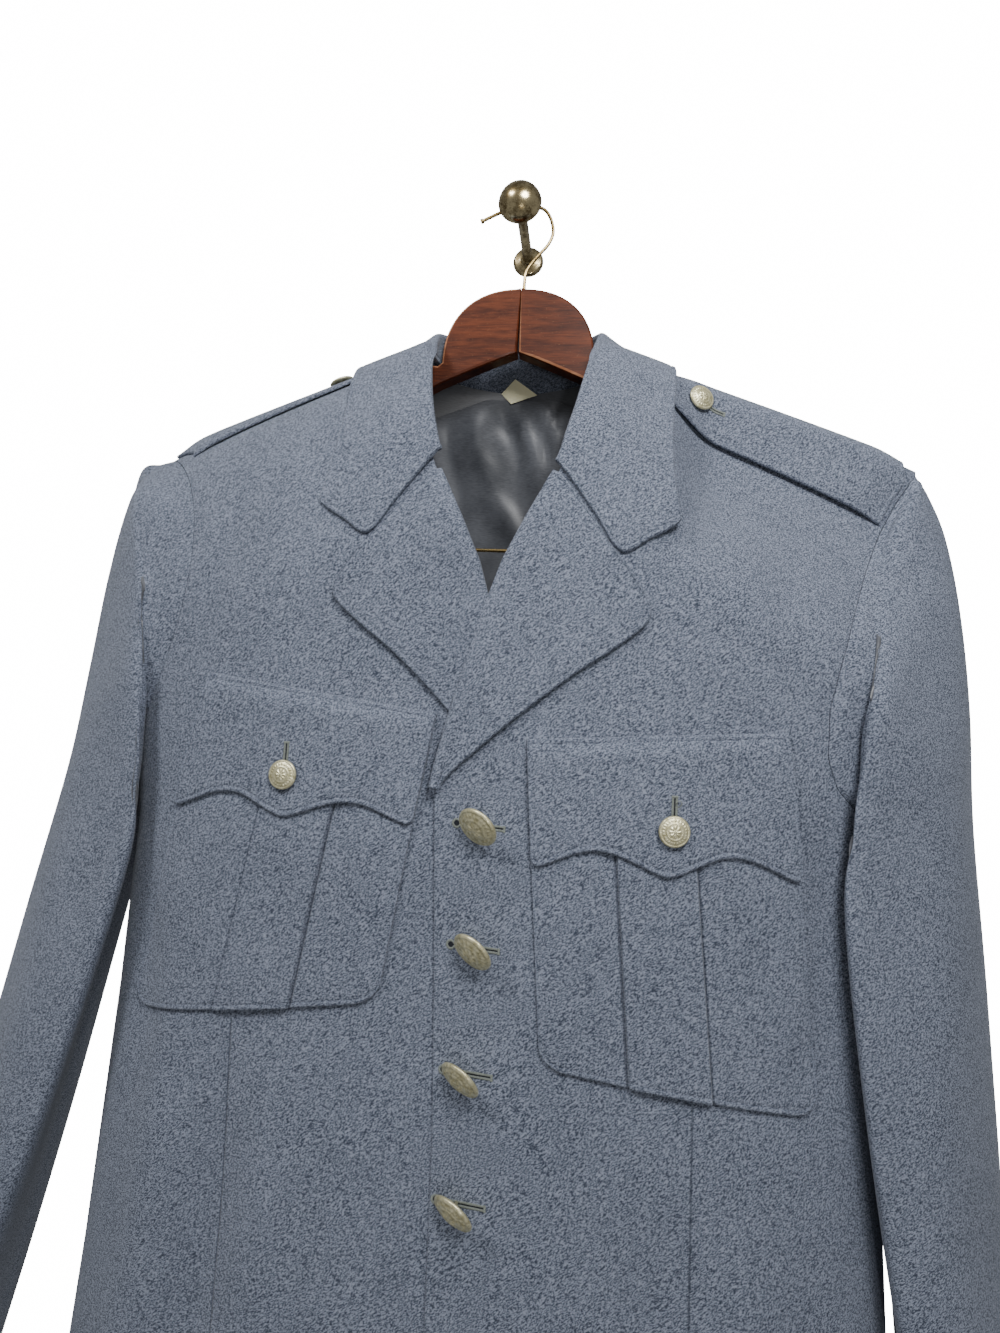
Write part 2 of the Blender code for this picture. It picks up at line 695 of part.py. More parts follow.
def strap_point(place, along, across, lift):
    """A strap's point and its normal: along runs from sleeve to collar, across from back to front."""
    side = 1 if place.side == "right" else -1
    half = STRAP_SLEEVE_HALF + (STRAP_COLLAR_HALF - STRAP_SLEEVE_HALF) * along
    centre = place.at_sleeve + (place.at_collar - place.at_sleeve) * along
    sleeve_x = place.sleeve_x
    for _ in range(3):
        f, z = over_shoulder(side * sleeve_x, place.at_sleeve + STRAP_SLEEVE_HALF * across)
        sleeve_x = min(place.sleeve_x, outer_x(z, 1 if f > 0 else -1, side) - STRAP_SEAM)
    x = sleeve_x + (STRAP_COLLAR_X - sleeve_x) * along
    f, z = over_shoulder(side * x, centre + half * across)
    flat = Vector((side * x, f, z))
    normal = outward(flat).normalized()
    return flat + normal * lift, normal


def strap_lift(place, along):
    """A strap's height over the shoulder, which falls to the cloth where it goes under the collar."""
    return place.lift + (STRAP_END_LIFT - place.lift) * smooth(along, 0.82, 0.95)


def add_straps(material, collection):
    for place in STRAP_PLACES:
        under, over = [], []
        for row in range(11):
            along = row / 10
            round_end = 1.0 - 0.25 * smooth(along, 0.9, 1.0)
            line = [across / 4 * round_end for across in range(-4, 5)]
            arch = [strap_lift(place, along) + STRAP_ARCH * (1.0 - a * a) * (1.0 - along) for a in line]
            under.append([strap_point(place, along, a, lift)[0] for a, lift in zip(line, arch)])
            over.append([strap_point(place, along, a, lift + STRAP_CLOTH)[0] for a, lift in zip(line, arch)])
        name = f"strap_{place.side}"
        add_object(name, sheet_mesh(name, under, over), material, collection)


def turned_mesh(name, profile, radius, length, sides):
    """A closed solid turned about Z from a profile of (radius, height), top to bottom."""
    mesh = bpy.data.meshes.new(name)
    build = bmesh.new()
    rings = []
    for r, h in profile:
        if r == 0.0:
            rings.append([build.verts.new((0.0, 0.0, h * length * METRE))])
            continue
        angles = [2 * math.pi * step / sides for step in range(sides)]
        scaled = r * radius * METRE
        rings.append([build.verts.new((scaled * math.cos(a), scaled * math.sin(a), h * length * METRE))
                      for a in angles])
    for high, low in zip(rings, rings[1:]):
        for step in range(sides):
            after = (step + 1) % sides
            corners = [high[step % len(high)], low[step % len(low)], low[after % len(low)],
                       high[after % len(high)]]
            build.faces.new(list(dict.fromkeys(corners)))
    bmesh.ops.recalc_face_normals(build, faces=build.faces)
    build.to_mesh(mesh)
    build.free()
    return mesh


def add_button(name, cloth, cloth_normal, facing, radius, stand, sides, material, collection):
    """A domed button whose thread shank runs from the cloth to the middle of its back."""
    centre = in_metres(cloth + cloth_normal * stand)
    axis = Vector((facing.x, -facing.y, facing.z)).normalized()
    turn = axis.to_track_quat("Z", "Y").to_matrix().to_4x4()
    button = add_object(name, turned_mesh(name, BUTTON_PROFILE, radius, radius, sides), material, collection)
    button.data.transform(Matrix.Translation(centre) @ turn)
    root = in_metres(cloth + cloth_normal * 0.3)
    shank_axis = centre - root
    bpy.ops.mesh.primitive_cylinder_add(vertices=8, radius=1.5 * METRE, depth=shank_axis.length)
    shank = bpy.context.object
    shank_turn = shank_axis.to_track_quat("Z", "Y").to_matrix().to_4x4()
    shank.data.transform(Matrix.Translation((centre + root) / 2) @ shank_turn)
    shank.name = f"{name}_shank"
    for home in list(shank.users_collection):
        home.objects.unlink(shank)
    bpy.data.collections["cutters"].objects.link(shank)
    shank.hide_render = True
    shank.display_type = "WIRE"
    join = button.modifiers.new("shank", "BOOLEAN")
    join.operation = "UNION"
    join.object = shank
    return button


def add_buttons(material, collection):
    for number, spot in enumerate(FRONT_BUTTONS, 1):
        cloth = torso_point(spot.x, spot.z, 1)
        facing = Vector((spot.face_x, spot.face_f, spot.face_z))
        add_button(f"front_button_{number}", cloth, outward(cloth).normalized(), facing,
                   FRONT_BUTTON_RADIUS, FRONT_BUTTON_STAND, 16, material, collection)
    for place in POCKET_PLACES:
        side = 1 if place.side == "right" else -1
        down = 0.265
        spot = pocket_spot(place, 0.53, down)
        lift = flap_lift(0.53, down) + LAID_CLOTH
        cloth = torso_point(spot.x, spot.y, 1, lift, side)
        normal = outward(cloth).normalized()
        add_button(f"flap_button_{place.side}", cloth, normal, normal,
                   SMALL_BUTTON_RADIUS, SMALL_BUTTON_STAND, 12, material, collection)
    for place in STRAP_PLACES:
        side = 1 if place.side == "right" else -1
        along = (STRAP_BUTTON_X - place.sleeve_x) / (STRAP_COLLAR_X - place.sleeve_x)
        lift = strap_lift(place, along) + STRAP_ARCH * (1.0 - along) + STRAP_CLOTH
        cloth, normal = strap_point(place, along, 0.0, lift)
        add_button(f"strap_button_{place.side}", cloth, normal, normal,
                   SMALL_BUTTON_RADIUS, SMALL_BUTTON_STAND, 12, material, collection)


def add_lining(material, collection):
    """The whole back's lining, hung just inside the shell and clear of the hanger."""
    under, over = [], []
    rows, half = 7, 5
    for row in range(rows + 1):
        lines = [[], []]
        for column in range(-half, half + 1):
            x = 172.0 * column / half
            top = min(-107.0, ridge(x) - 28.0)
            z = top + (HEM_Z + 22.0 - top) * (row / rows) ** 1.2
            for line, lift in zip(lines, (-CLOTH - 1.0, -CLOTH - 1.0 - LINING_CLOTH)):
                line.append(torso_point(x, z, -1, lift))
        over.append(lines[0])
        under.append(lines[1])
    add_object("back_lining", sheet_mesh("back_lining", under, over), material, collection)


def add_label(material, collection):
    """A blank kite-shaped label under the notch of the hanger, in front of the collar's stand."""
    corners = ((-13.3, -104.0), (-4.3, -93.5), (-6.3, -111.0), (11.4, -104.7))
    grids = [[[Vector((x, f, z)) for x, z in corners[pair:pair + 2]] for pair in (0, 2)]
             for f in (-26.0, -25.2)]
    add_object("neck_label", sheet_mesh("neck_label", *grids), material, collection)


def hanger_outline():
    steps = 10
    right = []
    for step in range(steps + 1):
        x = HUMP_HALF * math.sin(math.pi / 2 * step / steps)
        share = (x / HUMP_HALF) ** HUMP_SQUARE
        right.append((x, HUMP_LOW_Z + HUMP_HIGH * max(0.0, 1.0 - share) ** (1.0 / HUMP_SQUARE)))
    right.append((HUMP_HALF + 2.5, -100.0))
    right += [(x, ridge(-x) - ARM_DROP) for x in (66.0, 90.0, 120.0, 150.0, 180.0, 200.0)]
    right.append((215.0, ridge(-215.0) - ARM_DROP - 4.0))
    right += HANGER_LOW
    left = [(-x, z) for x, z in right[1:]]
    return [*right, NOTCH, *reversed(left)]


def add_hanger(wood, brass, collection):
    mesh = bpy.data.meshes.new("hanger_body")
    build = bmesh.new()
    flat = [build.verts.new(in_metres((x, HANGER_THICK / 2, z))) for x, z in hanger_outline()]
    front = build.faces.new(flat)
    deep = bmesh.ops.extrude_face_region(build, geom=[front])["geom"]
    moved = [v for v in deep if isinstance(v, bmesh.types.BMVert)]
    bmesh.ops.translate(build, verts=moved, vec=(0.0, HANGER_THICK * METRE, 0.0))
    bmesh.ops.recalc_face_normals(build, faces=build.faces)
    build.to_mesh(mesh)
    build.free()
    body = add_object("hanger_body", mesh, wood, collection)
    bevel = body.modifiers.new("edges", "BEVEL")
    bevel.width = 2.2 * METRE
    bevel.segments = 2
    bevel.limit_method = "ANGLE"
    bevel.angle_limit = math.radians(50)
    add_wire("hanger_hook", [(x, 0.0, z) for x, z in HOOK_ROUTE], WIRE_RADIUS, brass, collection)
    seat = -174.0
    bend = 12.0
    side = [(BAR_HALF, 0.0, seat), (BAR_HALF, 0.0, BAR_Z + bend)]
    side += [(BAR_HALF - bend * (1 - math.cos(a)), 0.0, BAR_Z + bend * (1 - math.sin(a)))
             for a in (math.pi / 6, math.pi / 3, math.pi / 2)]
    other = [(-x, f, z) for x, f, z in reversed(side)]
    add_wire("trouser_bar", [*side, (0.0, 0.0, BAR_Z), *other], BAR_RADIUS, brass, collection)


def add_wire(name, route, radius, material, collection):
    curve = bpy.data.curves.new(name, "CURVE")
    curve.dimensions = "3D"
    curve.bevel_depth = radius * METRE
    curve.bevel_resolution = 2
    curve.use_fill_caps = True
    curve.render_resolution_u = 0
    spline = curve.splines.new("POLY")
    spline.points.add(len(route) - 1)
    for point, place in zip(spline.points, route):
        point.co = (*in_metres(place), 1.0)
    curve.materials.append(material)
    collection.objects.link(bpy.data.objects.new(name, curve))


def add_knob(material, collection):
    mesh = turned_mesh("wall_knob", KNOB_PROFILE, 1.0, 1.0, 20)
    mesh.transform(Matrix.Rotation(math.radians(90), 4, "X"))
    add_object("wall_knob", mesh, material, collection)


def main():
    clear_scene()
    jacket = bpy.data.collections.new("service_dress_jacket")
    cutters = bpy.data.collections.new("cutters")
    for collection in (jacket, cutters):
        bpy.context.scene.collection.children.link(collection)
    serge = make_material("serge", GREY_BLUE, 0.85)
    button_brass = make_material("button_brass", OLD_BRASS, 0.38, 1.0)
    wire_brass = make_material("wire_brass", WIRE_BRASS, 0.3, 1.0)
    for name, side in (("right", 1), ("left", -1)):
        add_panel(f"front_{name}", 1, side, front_edge(side), serge, jacket)
        add_panel(f"back_{name}", -1, side, back_edge(side), serge, jacket)
        add_sleeve(f"sleeve_{name}", name, serge, jacket)
        add_lapel(f"lapel_{name}", side, serge, jacket)
    add_collar(serge, jacket)
    add_pockets(serge, jacket)
    add_straps(serge, jacket)
    add_buttons(button_brass, jacket)
    add_lining(make_material("satin", CHARCOAL, 0.45), jacket)
    add_label(make_material("label", CREAM, 0.8), jacket)
    add_hanger(make_material("mahogany", MAHOGANY, 0.3), wire_brass, jacket)
    add_knob(make_material("knob_brass", KNOB_BRASS, 0.35, 1.0), jacket)


main()
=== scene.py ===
"""A wool service dress jacket on a mahogany hanger, hooked over a brass wall knob.

The sections follow the order of making: the view, what holds the jacket, its back and lining, fronts,
sleeves, collar, lapels, pockets, straps, stitching and buttons. Garment points are millimetres as
(x to the viewer's right, f forward from the hanger's plane, z up) and become metres in one place.
"""

import functools
import math

import bmesh
import bpy
import numpy as np
from mathutils import Matrix, Vector


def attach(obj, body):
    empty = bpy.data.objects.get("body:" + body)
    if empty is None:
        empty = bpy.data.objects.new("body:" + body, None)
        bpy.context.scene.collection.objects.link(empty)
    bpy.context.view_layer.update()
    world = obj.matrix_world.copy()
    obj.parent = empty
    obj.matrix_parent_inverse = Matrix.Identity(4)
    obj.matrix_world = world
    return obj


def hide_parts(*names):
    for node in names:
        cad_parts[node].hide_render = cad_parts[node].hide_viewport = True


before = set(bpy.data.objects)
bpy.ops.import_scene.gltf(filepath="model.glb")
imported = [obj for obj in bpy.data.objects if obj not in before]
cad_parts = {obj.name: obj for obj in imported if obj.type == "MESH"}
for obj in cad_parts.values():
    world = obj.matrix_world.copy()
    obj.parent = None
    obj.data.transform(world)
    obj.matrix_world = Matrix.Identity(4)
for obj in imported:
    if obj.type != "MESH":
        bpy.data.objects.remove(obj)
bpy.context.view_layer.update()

# The view: a short lens close to the chest, a little to the right and below the notch of the collar, in a
# white studio. A soft box above and in front lights it, with a window at the left and a lamp lower down.
camera = bpy.data.objects.new("camera", bpy.data.cameras.new("camera"))
camera.data.lens = 21.065
camera.data.sensor_width = 36.0
camera.data.clip_start = 0.01
turn = Matrix.Rotation(math.radians(7.082), 4, "Z") @ Matrix.Rotation(math.radians(94.295), 4, "X")
camera.matrix_world = (
    Matrix.Translation((0.06345, -0.54295, -0.33758)) @ turn @ Matrix.Rotation(math.radians(3.265), 4, "Z")
)
bpy.context.scene.collection.objects.link(camera)
bpy.context.scene.camera = camera

world = bpy.data.worlds.new("studio")
world.use_nodes = True
backdrop = world.node_tree.nodes.new("ShaderNodeBackground")
backdrop.inputs["Strength"].default_value = 20.0
room = world.node_tree.nodes["Background"]
room.inputs["Color"].default_value = (1.0, 1.0, 1.0, 1.0)
room.inputs["Strength"].default_value = 0.20
seen = world.node_tree.nodes.new("ShaderNodeLightPath")
either = world.node_tree.nodes.new("ShaderNodeMixShader")
world.node_tree.links.new(seen.outputs["Is Camera Ray"], either.inputs["Fac"])
world.node_tree.links.new(room.outputs[0], either.inputs[1])
world.node_tree.links.new(backdrop.outputs[0], either.inputs[2])
world.node_tree.links.new(either.outputs[0], world.node_tree.nodes["World Output"].inputs["Surface"])
bpy.context.scene.world = world


def add_light(name, place, target, size, watts):
    light = bpy.data.lights.new(name, "AREA")
    light.shape = "DISK"
    light.size = size
    light.energy = watts
    lamp = bpy.data.objects.new(name, light)
    lamp.matrix_world = Matrix.Translation(place) @ (
        (Vector(target) - Vector(place)).to_track_quat("-Z", "Y").to_matrix().to_4x4()
    )
    bpy.context.scene.collection.objects.link(lamp)


add_light("window", (-0.9, -1.15, 0.95), (0.0, -0.1, -0.3), 0.45, 16.0)
add_light("softbox", (0.30, -0.80, 0.35), (0.0, -0.1, -0.25), 0.4, 8.5)
add_light("lamp", (0.25, -1.2, -0.6), (0.0, -0.1, -0.2), 0.06, 1.4)


# Materials are written as sums of shader nodes, and one function hands every piece to the frame.
class Shade:
    """A socket of a material's nodes that takes part in Python sums."""

    def __init__(self, tree, socket=None):
        self.tree = tree
        self.socket = socket

    def node(self, kind, settings=None, values=None, output=0):
        made = self.tree.nodes.new(kind)
        for name, value in (settings or {}).items():
            if name == "stops":
                ramp = made.color_ramp
                for index, (place, color) in enumerate(value):
                    stop = ramp.elements[index] if index < 2 else ramp.elements.new(place)
                    stop.position = place
                    stop.color = (*color, 1.0)
            else:
                setattr(made, name, value)
        for name, value in (values or {}).items():
            if isinstance(value, Shade):
                self.tree.links.new(value.socket, made.inputs[name])
            else:
                made.inputs[name].default_value = value
        return Shade(self.tree, made.outputs[output])

    def maths(self, operation, *terms):
        return self.node("ShaderNodeMath", {"operation": operation}, dict(enumerate(terms)))

    def __add__(self, other):
        return self.maths("ADD", self, other)

    def __radd__(self, other):
        return self.maths("ADD", other, self)

    def __sub__(self, other):
        return self.maths("SUBTRACT", self, other)

    def __rsub__(self, other):
        return self.maths("SUBTRACT", other, self)

    def __mul__(self, other):
        return self.maths("MULTIPLY", self, other)

    def __rmul__(self, other):
        return self.maths("MULTIPLY", other, self)

    def ramp(self, low, high):
        return self.node("ShaderNodeMapRange", {"interpolation_type": "SMOOTHSTEP"},
                         {"Value": self, "From Min": low, "From Max": high})

    def blend(self, dark, light):
        return self.node("ShaderNodeMix", {"data_type": "RGBA"}, {"Factor": self, 6: dark, 7: light}, 2)

    def noise(self, vector, scale, detail=2.0, roughness=0.5):
        return self.node("ShaderNodeTexNoise", {}, {
            "Vector": vector, "Scale": scale, "Detail": detail, "Roughness": roughness})

    def stretched(self, *scale):
        return self.node("ShaderNodeMapping", {}, {"Vector": self, "Scale": scale})

    def object_place(self):
        """Where the shaded point is, in the object's own metres."""
        return self.node("ShaderNodeTexCoord", output=3)


def new_material(name, **values):
    """A Principled material with these constant socket values; returns it, a Shade and its shader."""
    material = bpy.data.materials.new(name)
    material.use_nodes = True
    shader = material.node_tree.nodes["Principled BSDF"]
    for key, value in values.items():
        socket = shader.inputs[key.replace("_", " ").title().replace("Ior", "IOR")]
        socket.default_value = (*value, 1.0) if isinstance(value, tuple) else value
    return material, Shade(material.node_tree), shader


def feed(term, shader, socket):
    term.tree.links.new(term.socket, shader.inputs[socket])


def bump(height, shader, strength, distance=0.0002):
    values = {"Strength": strength, "Distance": distance, "Height": height}
    feed(height.node("ShaderNodeBump", {}, values), shader, "Normal")


def brass(name, dark, light, roughness, size, metal=1.0):
    """Brass with a thin uneven tarnish: dark and light are its colours, size its patches in metres."""
    material, nodes, shader = new_material(name, metallic=metal)
    place = nodes.object_place()
    cloud = nodes.noise(place, 1.0 / size, 5.0, 0.65)
    specks = nodes.noise(place, 9.0 / size, 2.0, 0.5)
    tarnish = (cloud * 0.7 + specks * 0.3).ramp(0.38, 0.62)
    feed(tarnish.blend((*dark, 1.0), (*light, 1.0)), shader, "Base Color")
    feed(roughness + 0.14 * (1.0 - tarnish), shader, "Roughness")
    bump(specks, shader, 0.12)
    return material


def hand_over(name, mesh, slot, *replaced):
    """Hands a finished piece to the frame: it rides with the one body and stands for these nodes."""
    piece = bpy.data.objects.new(name, mesh)
    bpy.context.scene.collection.objects.link(piece)
    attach(piece, "root")
    if replaced:
        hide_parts(*replaced)
    return piece


def finished(build, mesh):
    """The built form written into the mesh, its normals facing out and its shading smooth."""
    bmesh.ops.recalc_face_normals(build, faces=build.faces)
    build.to_mesh(mesh)
    build.free()
    mesh.shade_smooth()
    return mesh


def turned(name, profile, sides):
    """A closed solid turned about Z from (radius, height) rows in metres, top to bottom."""
    build = bmesh.new()
    rings = []
    for radius, height in profile:
        count = sides if radius > 0 else 1
        angles = [2 * math.pi * n / sides for n in range(count)]
        rings.append([build.verts.new((radius * math.cos(a), radius * math.sin(a), height)) for a in angles])
    for high, low in zip(rings, rings[1:]):
        for n in range(sides):
            after = (n + 1) % sides
            corners = [high[n % len(high)], low[n % len(low)], low[after % len(low)], high[after % len(high)]]
            build.faces.new(list(dict.fromkeys(corners)))
    return finished(build, bpy.data.meshes.new(name))


# The wall knob is turned from solid brass and left to darken: a mushroom head, a stem and a wall plate,
# with the head's rim rolled over.
knob_profile = [(0.0, 76.6)]
knob_profile += [(13.9 * math.sin(a), 66.6 + 10.0 * math.cos(a) ** 1.2)
                 for a in np.linspace(0.12, math.pi / 2 - 0.05, 16)]
knob_profile += [(14.1, 66.2), (14.0, 65.4), (13.5, 64.7), (12.6, 64.2), (11.0, 63.6), (8.0, 61.8)]
knob_profile += [(5.3, 59.2), (4.9, 57.5), (4.9, 51.5), (4.4, 49.6), (3.4, 47.8), (3.4, 6.6), (3.9, 5.0)]
knob_profile += [(5.6, 3.9), (9.2, 3.2), (10.5, 2.4), (11.0, 1.4), (11.0, 0.3), (10.8, 0.0), (0.0, 0.0)]
knob_mesh = turned("wall_knob_turned", [(r / 1000, h / 1000) for r, h in knob_profile], 64)
knob_mesh.transform(Matrix.Rotation(math.radians(90), 4, "X"))
knob_mesh.materials.append(brass("dark antique brass", (0.18, 0.13, 0.06), (0.84, 0.71, 0.42), 0.15, 0.006))
hand_over("wall_knob_turned", knob_mesh, "knob_brass", "wall_knob")

# The hanger is two arms of red mahogany sawn flat and mitred together at the middle, with a high hump
# under the hook, sanded round on top, chamfered along its lower edge and lacquered to a gloss.
GARMENT_AT = np.array((3.0, -53.0, -7.0))


def in_metres(points):
    """Garment points of any array shape, turned into the part's own metres."""
    points = np.asarray(points, float)
    x, f, z = points[..., 0], points[..., 1], points[..., 2]
    return np.stack((GARMENT_AT[0] + x, GARMENT_AT[1] - f, GARMENT_AT[2] + z), -1) * 0.001


def curve_through(points, steps):
    """A smooth curve through these rows of numbers, with steps pieces between each pair."""
    knots = np.asarray(points, float)
    knots = np.concatenate(([2 * knots[0] - knots[1]], knots, [2 * knots[-1] - knots[-2]]))
    found = []
    for a, b, c, d in zip(knots, knots[1:], knots[2:], knots[3:]):
        for t in np.arange(steps) / steps:
            found.append((2 * b + (c - a) * t + (2 * a - 5 * b + 4 * c - d) * t**2
                          + (3 * b - a - 3 * c + d) * t**3) / 2)
    return np.array([*found, knots[-2]])


NECK_HALF = 62.0


def ridge(x):
    """Height of the shoulder line over this place, which is held straighter on the viewer's right."""
    x = np.asarray(x, float)
    over = np.abs(x) - NECK_HALF
    slope = np.where(over > 0, np.where(x > 0, 0.37, 0.40), 0.38)
    return -94.0 - over * slope - 5.0 * np.maximum(0.0, (-x - 190.0) / 50.0) ** 2


hump = [(49.5 * math.sin(a), -96.5 + 50.0 * max(0.0, 1.0 - math.sin(a) ** 2.3) ** (1 / 2.3))
        for a in np.linspace(0.0, math.pi / 2, 25)]
arm_top = [(float(x), float(ridge(-x)) - 4.3) for x in np.linspace(66.0, 203.0, 28)]
arm_end = [(209.0, -160.5), (215.0, -164.6), (219.5, -171.0), (221.0, -178.0), (220.3, -186.0),
           (216.0, -190.6)]
arm_low = [(209.0, -187.0), (200.0, -182.5), (170.0, -169.0), (140.0, -156.0), (110.0, -143.5),
           (80.0, -127.5), (62.0, -117.5), (50.0, -110.5), (36.0, -104.3), (22.0, -98.2), (10.0, -93.2)]
half_outline = [*hump, (52.0, -98.6), (58.0, -98.0), *arm_top, *arm_end, *arm_low, (0.6, -89.4)]
hanger_build = bmesh.new()
for side in (1, -1):
    line = half_outline if side > 0 else [(-x, z) for x, z in reversed(half_outline)]
    line = [(x if abs(x) > 0.3 else side * 0.12, z) for x, z in line]
    rounded = []
    for depth_at, inset in ((6.0, 1.5), (5.5, 0.45), (4.6, 0.0), (-4.6, 0.0), (-5.5, 0.45), (-6.0, 1.5)):
        ring = []
        for n, (x, z) in enumerate(line):
            before, after = line[n - 1], line[(n + 1) % len(line)]
            along = Vector((after[0] - before[0], after[1] - before[1])).normalized()
            inward = Vector((along.y, -along.x))
            low_edge = depth_at > 5.0 and inward.y > 0.3
            move = inset * (1.25 if low_edge else 1.0) if abs(x) > 0.3 else inset * 0.1
            spot = in_metres((x + inward.x * move, depth_at, z + inward.y * move))
            ring.append(hanger_build.verts.new(spot))
        rounded.append(ring)
    for front_ring, back_ring in zip(rounded, rounded[1:]):
        for n in range(len(line)):
            after = (n + 1) % len(line)
            face = hanger_build.faces.new((front_ring[n], back_ring[n], back_ring[after], front_ring[after]))
            # The lower chamfer on the front takes the second, lighter mahogany.
            lower = line[n][0] * line[after][0] > 0.02 and side * (line[after][0] - line[n][0]) < 0
            face.material_index = 1 if front_ring is rounded[0] and lower and abs(line[n][0]) < 212.0 else 0
    hanger_build.faces.new(rounded[0])
    hanger_build.faces.new(rounded[-1])
hanger_mesh = finished(hanger_build, bpy.data.meshes.new("hanger_wood"))
hanger_mesh.set_sharp_from_angle(angle=math.radians(20))


def wood(name, dark, light, coat):
    material, nodes, shader = new_material(name, coat_roughness=0.22, specular_ior_level=0.2)
    place = nodes.object_place()
    grain_place = place.stretched(9.0, 60.0, 70.0)
    wander = nodes.noise(place, 14.0, 2.0)
    lines = nodes.node("ShaderNodeTexNoise", {"noise_dimensions": "4D"}, {
        "Vector": grain_place, "W": wander * 1.4, "Scale": 2.2, "Detail": 6.0, "Roughness": 0.62})
    pores = nodes.noise(place.stretched(60.0, 500.0, 620.0), 1.6, 2.0)
    gold = nodes.noise(place, 1500.0, 1.0).ramp(0.70, 0.80)
    grain = (lines * 0.72 + pores * 0.28).ramp(0.30, 0.70)
    color = grain.blend((*dark, 1.0), (*light, 1.0))
    flecked = (gold * 0.35).node("ShaderNodeMix", {"data_type": "RGBA"},
                                 {"Factor": gold * 0.35, 6: color, 7: (0.42, 0.24, 0.10, 1.0)}, 2)
    feed(flecked, shader, "Base Color")
    feed(0.36 + 0.16 * pores, shader, "Roughness")
    feed(coat * (1.0 - 0.4 * pores.ramp(0.55, 0.75)), shader, "Coat Weight")
    bump(grain, shader, 0.25, 0.0003)
    return material


hanger_mesh.materials.append(wood("lacquered mahogany", (0.035, 0.007, 0.003), (0.17, 0.040, 0.012), 0.14))
hanger_mesh.materials.append(wood("lighter mahogany chamfer", (0.26, 0.09, 0.04), (0.55, 0.27, 0.15), 0.2))
hand_over("hanger_wood", hanger_mesh, "mahogany", "hanger_body")

# The hook and the trouser bar are drawn brass wire, bent cold: the hook is screwed into the top of the
# hump, its free end nipped flat, and the bar's ends are pushed up into the two arms.


def wire(name, route, radius, end_radius=None):
    """A round bar along a route of garment points, its ends capped flat."""
    points = in_metres(route)
    curve = bpy.data.curves.new(name, "CURVE")
    curve.dimensions = "3D"
    curve.bevel_depth = radius * 0.001
    curve.bevel_resolution = 5
    curve.use_fill_caps = True
    spline = curve.splines.new("POLY")
    spline.points.add(len(points) - 1)
    for number, (knot, place) in enumerate(zip(spline.points, points)):
        knot.co = (*place, 1.0)
        left = len(points) - 1 - number
        knot.radius = (end_radius or 1.0) if left < 5 else 1.0
    holder = bpy.data.objects.new(name, curve)
    bpy.context.scene.collection.objects.link(holder)
    evaluated = holder.evaluated_get(bpy.context.evaluated_depsgraph_get())
    mesh = bpy.data.meshes.new_from_object(evaluated)
    bpy.data.objects.remove(holder)
    build = bmesh.new()
    build.from_mesh(mesh)
    bmesh.ops.remove_doubles(build, verts=build.verts, dist=1e-6)
    finished(build, mesh)
    mesh.name = name
    mesh.materials.clear()
    mesh.set_sharp_from_angle(angle=math.radians(50))
    return mesh


hook_route = [(1.4, -46.6), (1.3, -39.6), (1.9, -32.8), (4.9, -27.0), (10.5, -19.8), (15.5, -13.7),
              (18.1, -7.5), (18.2, -2.0), (16.0, 5.2), (12.1, 10.6), (5.5, 13.2), (-3.0, 13.6),
              (-11.0, 12.4), (-19.3, 8.6), (-27.6, 4.6), (-30.2, 3.4)]
drawn_brass = brass("drawn brass wire", (0.34, 0.23, 0.09), (0.62, 0.47, 0.22), 0.26, 0.004)
hook_line = [(x, 0.0, z) for x, z in curve_through(hook_route, 6)]
hook_mesh = wire("hook_wire", hook_line, 1.1, 1.45)
hook_mesh.materials.append(drawn_brass)
hand_over("hook_wire", hook_mesh, "wire_brass", "hanger_hook")

bar_side = [(178.0, 0.0, -174.5), (178.0, 0.0, -207.0)]
bar_side += [(178.0 - 12.0 * (1 - math.cos(a)), 0.0, -207.0 - 12.0 * math.sin(a))
             for a in np.linspace(0.15, math.pi / 2, 8)]
bar_route = [*bar_side, (0.0, 0.0, -219.0), *[(-x, f, z) for x, f, z in reversed(bar_side)]]
bar_mesh = wire("bar_wire", bar_route, 1.15)
bar_mesh.materials.append(drawn_brass)
hand_over("bar_wire", bar_mesh, "wire_brass", "trouser_bar")

# The back is two panels of blue-grey wool serge joined down the middle. The cloth is woven from dark and
# light fibres twisted together, which gives its heathered speckle, in a fine diagonal twill.
SEAM = 0.4
CLOTH = 2.0
CROWN_HEIGHT = 150.0
HEM_Z = -853.0
ARM_TOP_Z, ARM_LOW_Z = -165.0, -378.0
ARM_MIDDLE_Z, ARM_HALF = (ARM_TOP_Z + ARM_LOW_Z) / 2, (ARM_TOP_Z - ARM_LOW_Z) / 2
HANDS = {1: "right", -1: "left"}
# Columns of the torso's girths: z, half_width, front, back, roundness.
GIRTHS = np.array((
    (-880.0, 252.0, 80.0, 42.0, 2.6),
    (-650.0, 235.0, 77.0, 40.0, 2.6),
    (-500.0, 227.0, 76.0, 40.0, 2.6),
    (-400.0, 223.0, 78.0, 42.0, 2.7),
    (-300.0, 234.0, 75.0, 44.0, 2.8),
    (-200.0, 246.0, 71.0, 46.0, 2.8),
    (-60.0, 250.0, 68.0, 48.0, 2.8),
))
